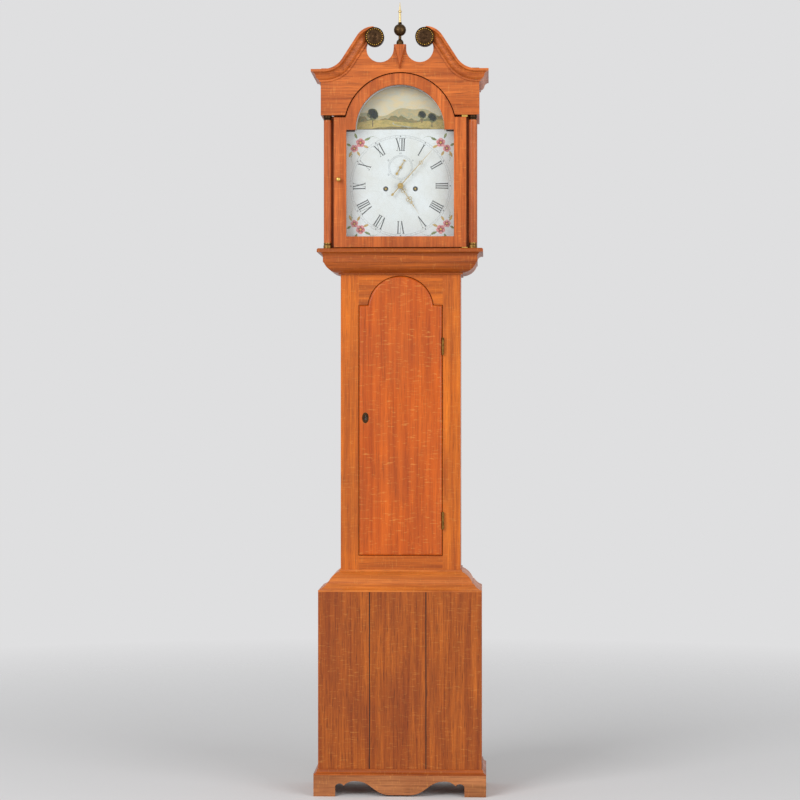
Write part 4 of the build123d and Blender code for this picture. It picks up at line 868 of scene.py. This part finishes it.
def gut_line(name, node, side):
    """A tube of eight sides round a path: down, half round the pulley, and up."""
    low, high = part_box(node)
    inner = min(abs(low.x), abs(high.x)) + GUT_RADIUS
    outer = max(abs(low.x), abs(high.x)) - GUT_RADIUS
    middle, reach = (inner + outer) / 2, (outer - inner) / 2
    down = np.linspace(BARREL_HEIGHT, PULLEY_HEIGHT, 40)
    turn = np.linspace(0, math.pi, 17)[1:-1]
    up = np.linspace(PULLEY_HEIGHT, SEAT_HEIGHT, 24)
    x = np.concatenate((np.full(40, inner), middle - reach * np.cos(turn), np.full(24, outer)))
    z = np.concatenate((down, PULLEY_HEIGHT - reach * np.sin(turn), up))
    way = np.column_stack((np.gradient(x), np.gradient(z)))
    way /= np.linalg.norm(way, axis=1)[:, None]
    rim = np.linspace(0, 2 * math.pi, 8, endpoint=False)
    out = np.cos(rim)[None, :] * GUT_RADIUS
    px = side * (x[:, None] + out * -way[:, 1][:, None])
    pz = z[:, None] + out * way[:, 0][:, None]
    py = LINE_Y + np.tile(np.sin(rim) * GUT_RADIUS, (len(x), 1))
    points = np.stack((px, py, pz), axis=2).reshape(-1, 3)
    rows = len(x)
    faces = [
        [r * 8 + k, r * 8 + (k + 1) % 8, (r + 1) * 8 + (k + 1) % 8, (r + 1) * 8 + k]
        for r in range(rows - 1)
        for k in range(8)
    ]
    faces += [list(range(8))[::-1], [(rows - 1) * 8 + k for k in range(8)]]
    if side < 0:
        faces = [face[::-1] for face in faces]
    mesh = bpy.data.meshes.new(name)
    mesh.from_pydata(points.tolist(), [], faces)
    mesh.shade_smooth()
    mesh.materials.append(gut_material)
    piece = bpy.data.objects.new(name, mesh)
    bpy.context.scene.collection.objects.link(piece)
    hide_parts(node)
    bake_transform(piece)
    return piece


going_side = 1 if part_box("going_line")[1].x > 0 else -1
gut_line("going_gut", "going_line", going_side)
gut_line("striking_gut", "striking_line", -going_side)
print("gut lines at y", round(LINE_Y, 4))

# %% [markdown]
# Each rosette has a ring of gilt beads and a ring of petals on its dark plate. A bead is a ball
# and a petal a long ball, both half sunk, so one function makes them as grids over an ellipsoid.

# %% Rosette petals and beads
ROSETTE_Z = 2.1076
ROSETTE_X = 0.0696
ROSETTE_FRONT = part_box("rosettes")[0].y


def domes(name, places, body, finish):
    """Closed ellipsoids from grids of 6 by 10, each (x, y, z, half sizes, turn about y)."""
    up = np.linspace(0, math.pi, 7)
    around = np.linspace(0, 2 * math.pi, 10, endpoint=False)
    height, turned_to = np.meshgrid(up[1:-1], around, indexing="ij")
    rows = np.stack(
        (np.sin(height) * np.cos(turned_to), np.sin(height) * np.sin(turned_to), np.cos(height)), axis=2
    )
    unit = np.vstack(((0.0, 0.0, 1.0), rows.reshape(-1, 3), (0.0, 0.0, -1.0)))
    last = len(unit) - 1
    cap = [[0, 1 + k, 1 + (k + 1) % 10] for k in range(10)]
    band = [
        [row + k, row + 10 + k, row + 10 + (k + 1) % 10, row + (k + 1) % 10]
        for row in range(1, 41, 10)
        for k in range(10)
    ]
    foot = [[last, 41 + (k + 1) % 10, 41 + k] for k in range(10)]
    points, faces = [], []
    for x, y, z, half, turn in places:
        c, s = math.cos(turn), math.sin(turn)
        scaled = unit * np.array(half)
        across, up_by = scaled[:, 0], scaled[:, 2]
        turned = np.column_stack((across * c - up_by * s, scaled[:, 1], across * s + up_by * c))
        base = len(points)
        points += (turned + np.array((x, y, z))).tolist()
        faces += [[base + i for i in face] for face in cap + band + foot]
    mesh = bpy.data.meshes.new(name)
    mesh.from_pydata(points, [], faces)
    mesh.shade_smooth()
    mesh.materials.append(finish)
    piece = bpy.data.objects.new(name, mesh)
    bpy.context.scene.collection.objects.link(piece)
    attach(piece, body)
    return piece


BEAD_CIRCLE = 0.0222
PETAL_CIRCLE = 0.0120
beads, petals = [], []
for centre in (-ROSETTE_X, ROSETTE_X):
    for k in range(24):
        a = k * math.pi / 12
        x, z = centre + BEAD_CIRCLE * math.cos(a), ROSETTE_Z + BEAD_CIRCLE * math.sin(a)
        beads.append((x, ROSETTE_FRONT + 0.0050, z, (0.0021, 0.0021, 0.0021), 0.0))
    for k in range(10):
        a = k * math.pi / 5
        x, z = centre + PETAL_CIRCLE * math.cos(a), ROSETTE_Z + PETAL_CIRCLE * math.sin(a)
        petals.append((x, ROSETTE_FRONT + 0.0048, z, (0.0058, 0.0024, 0.0030), a))
domes("rosette_beads", beads, "hood", gilt)
domes("rosette_petals", petals, "hood", gilt)
print("beads", len(beads), "petals", len(petals), "front", round(ROSETTE_FRONT, 4))
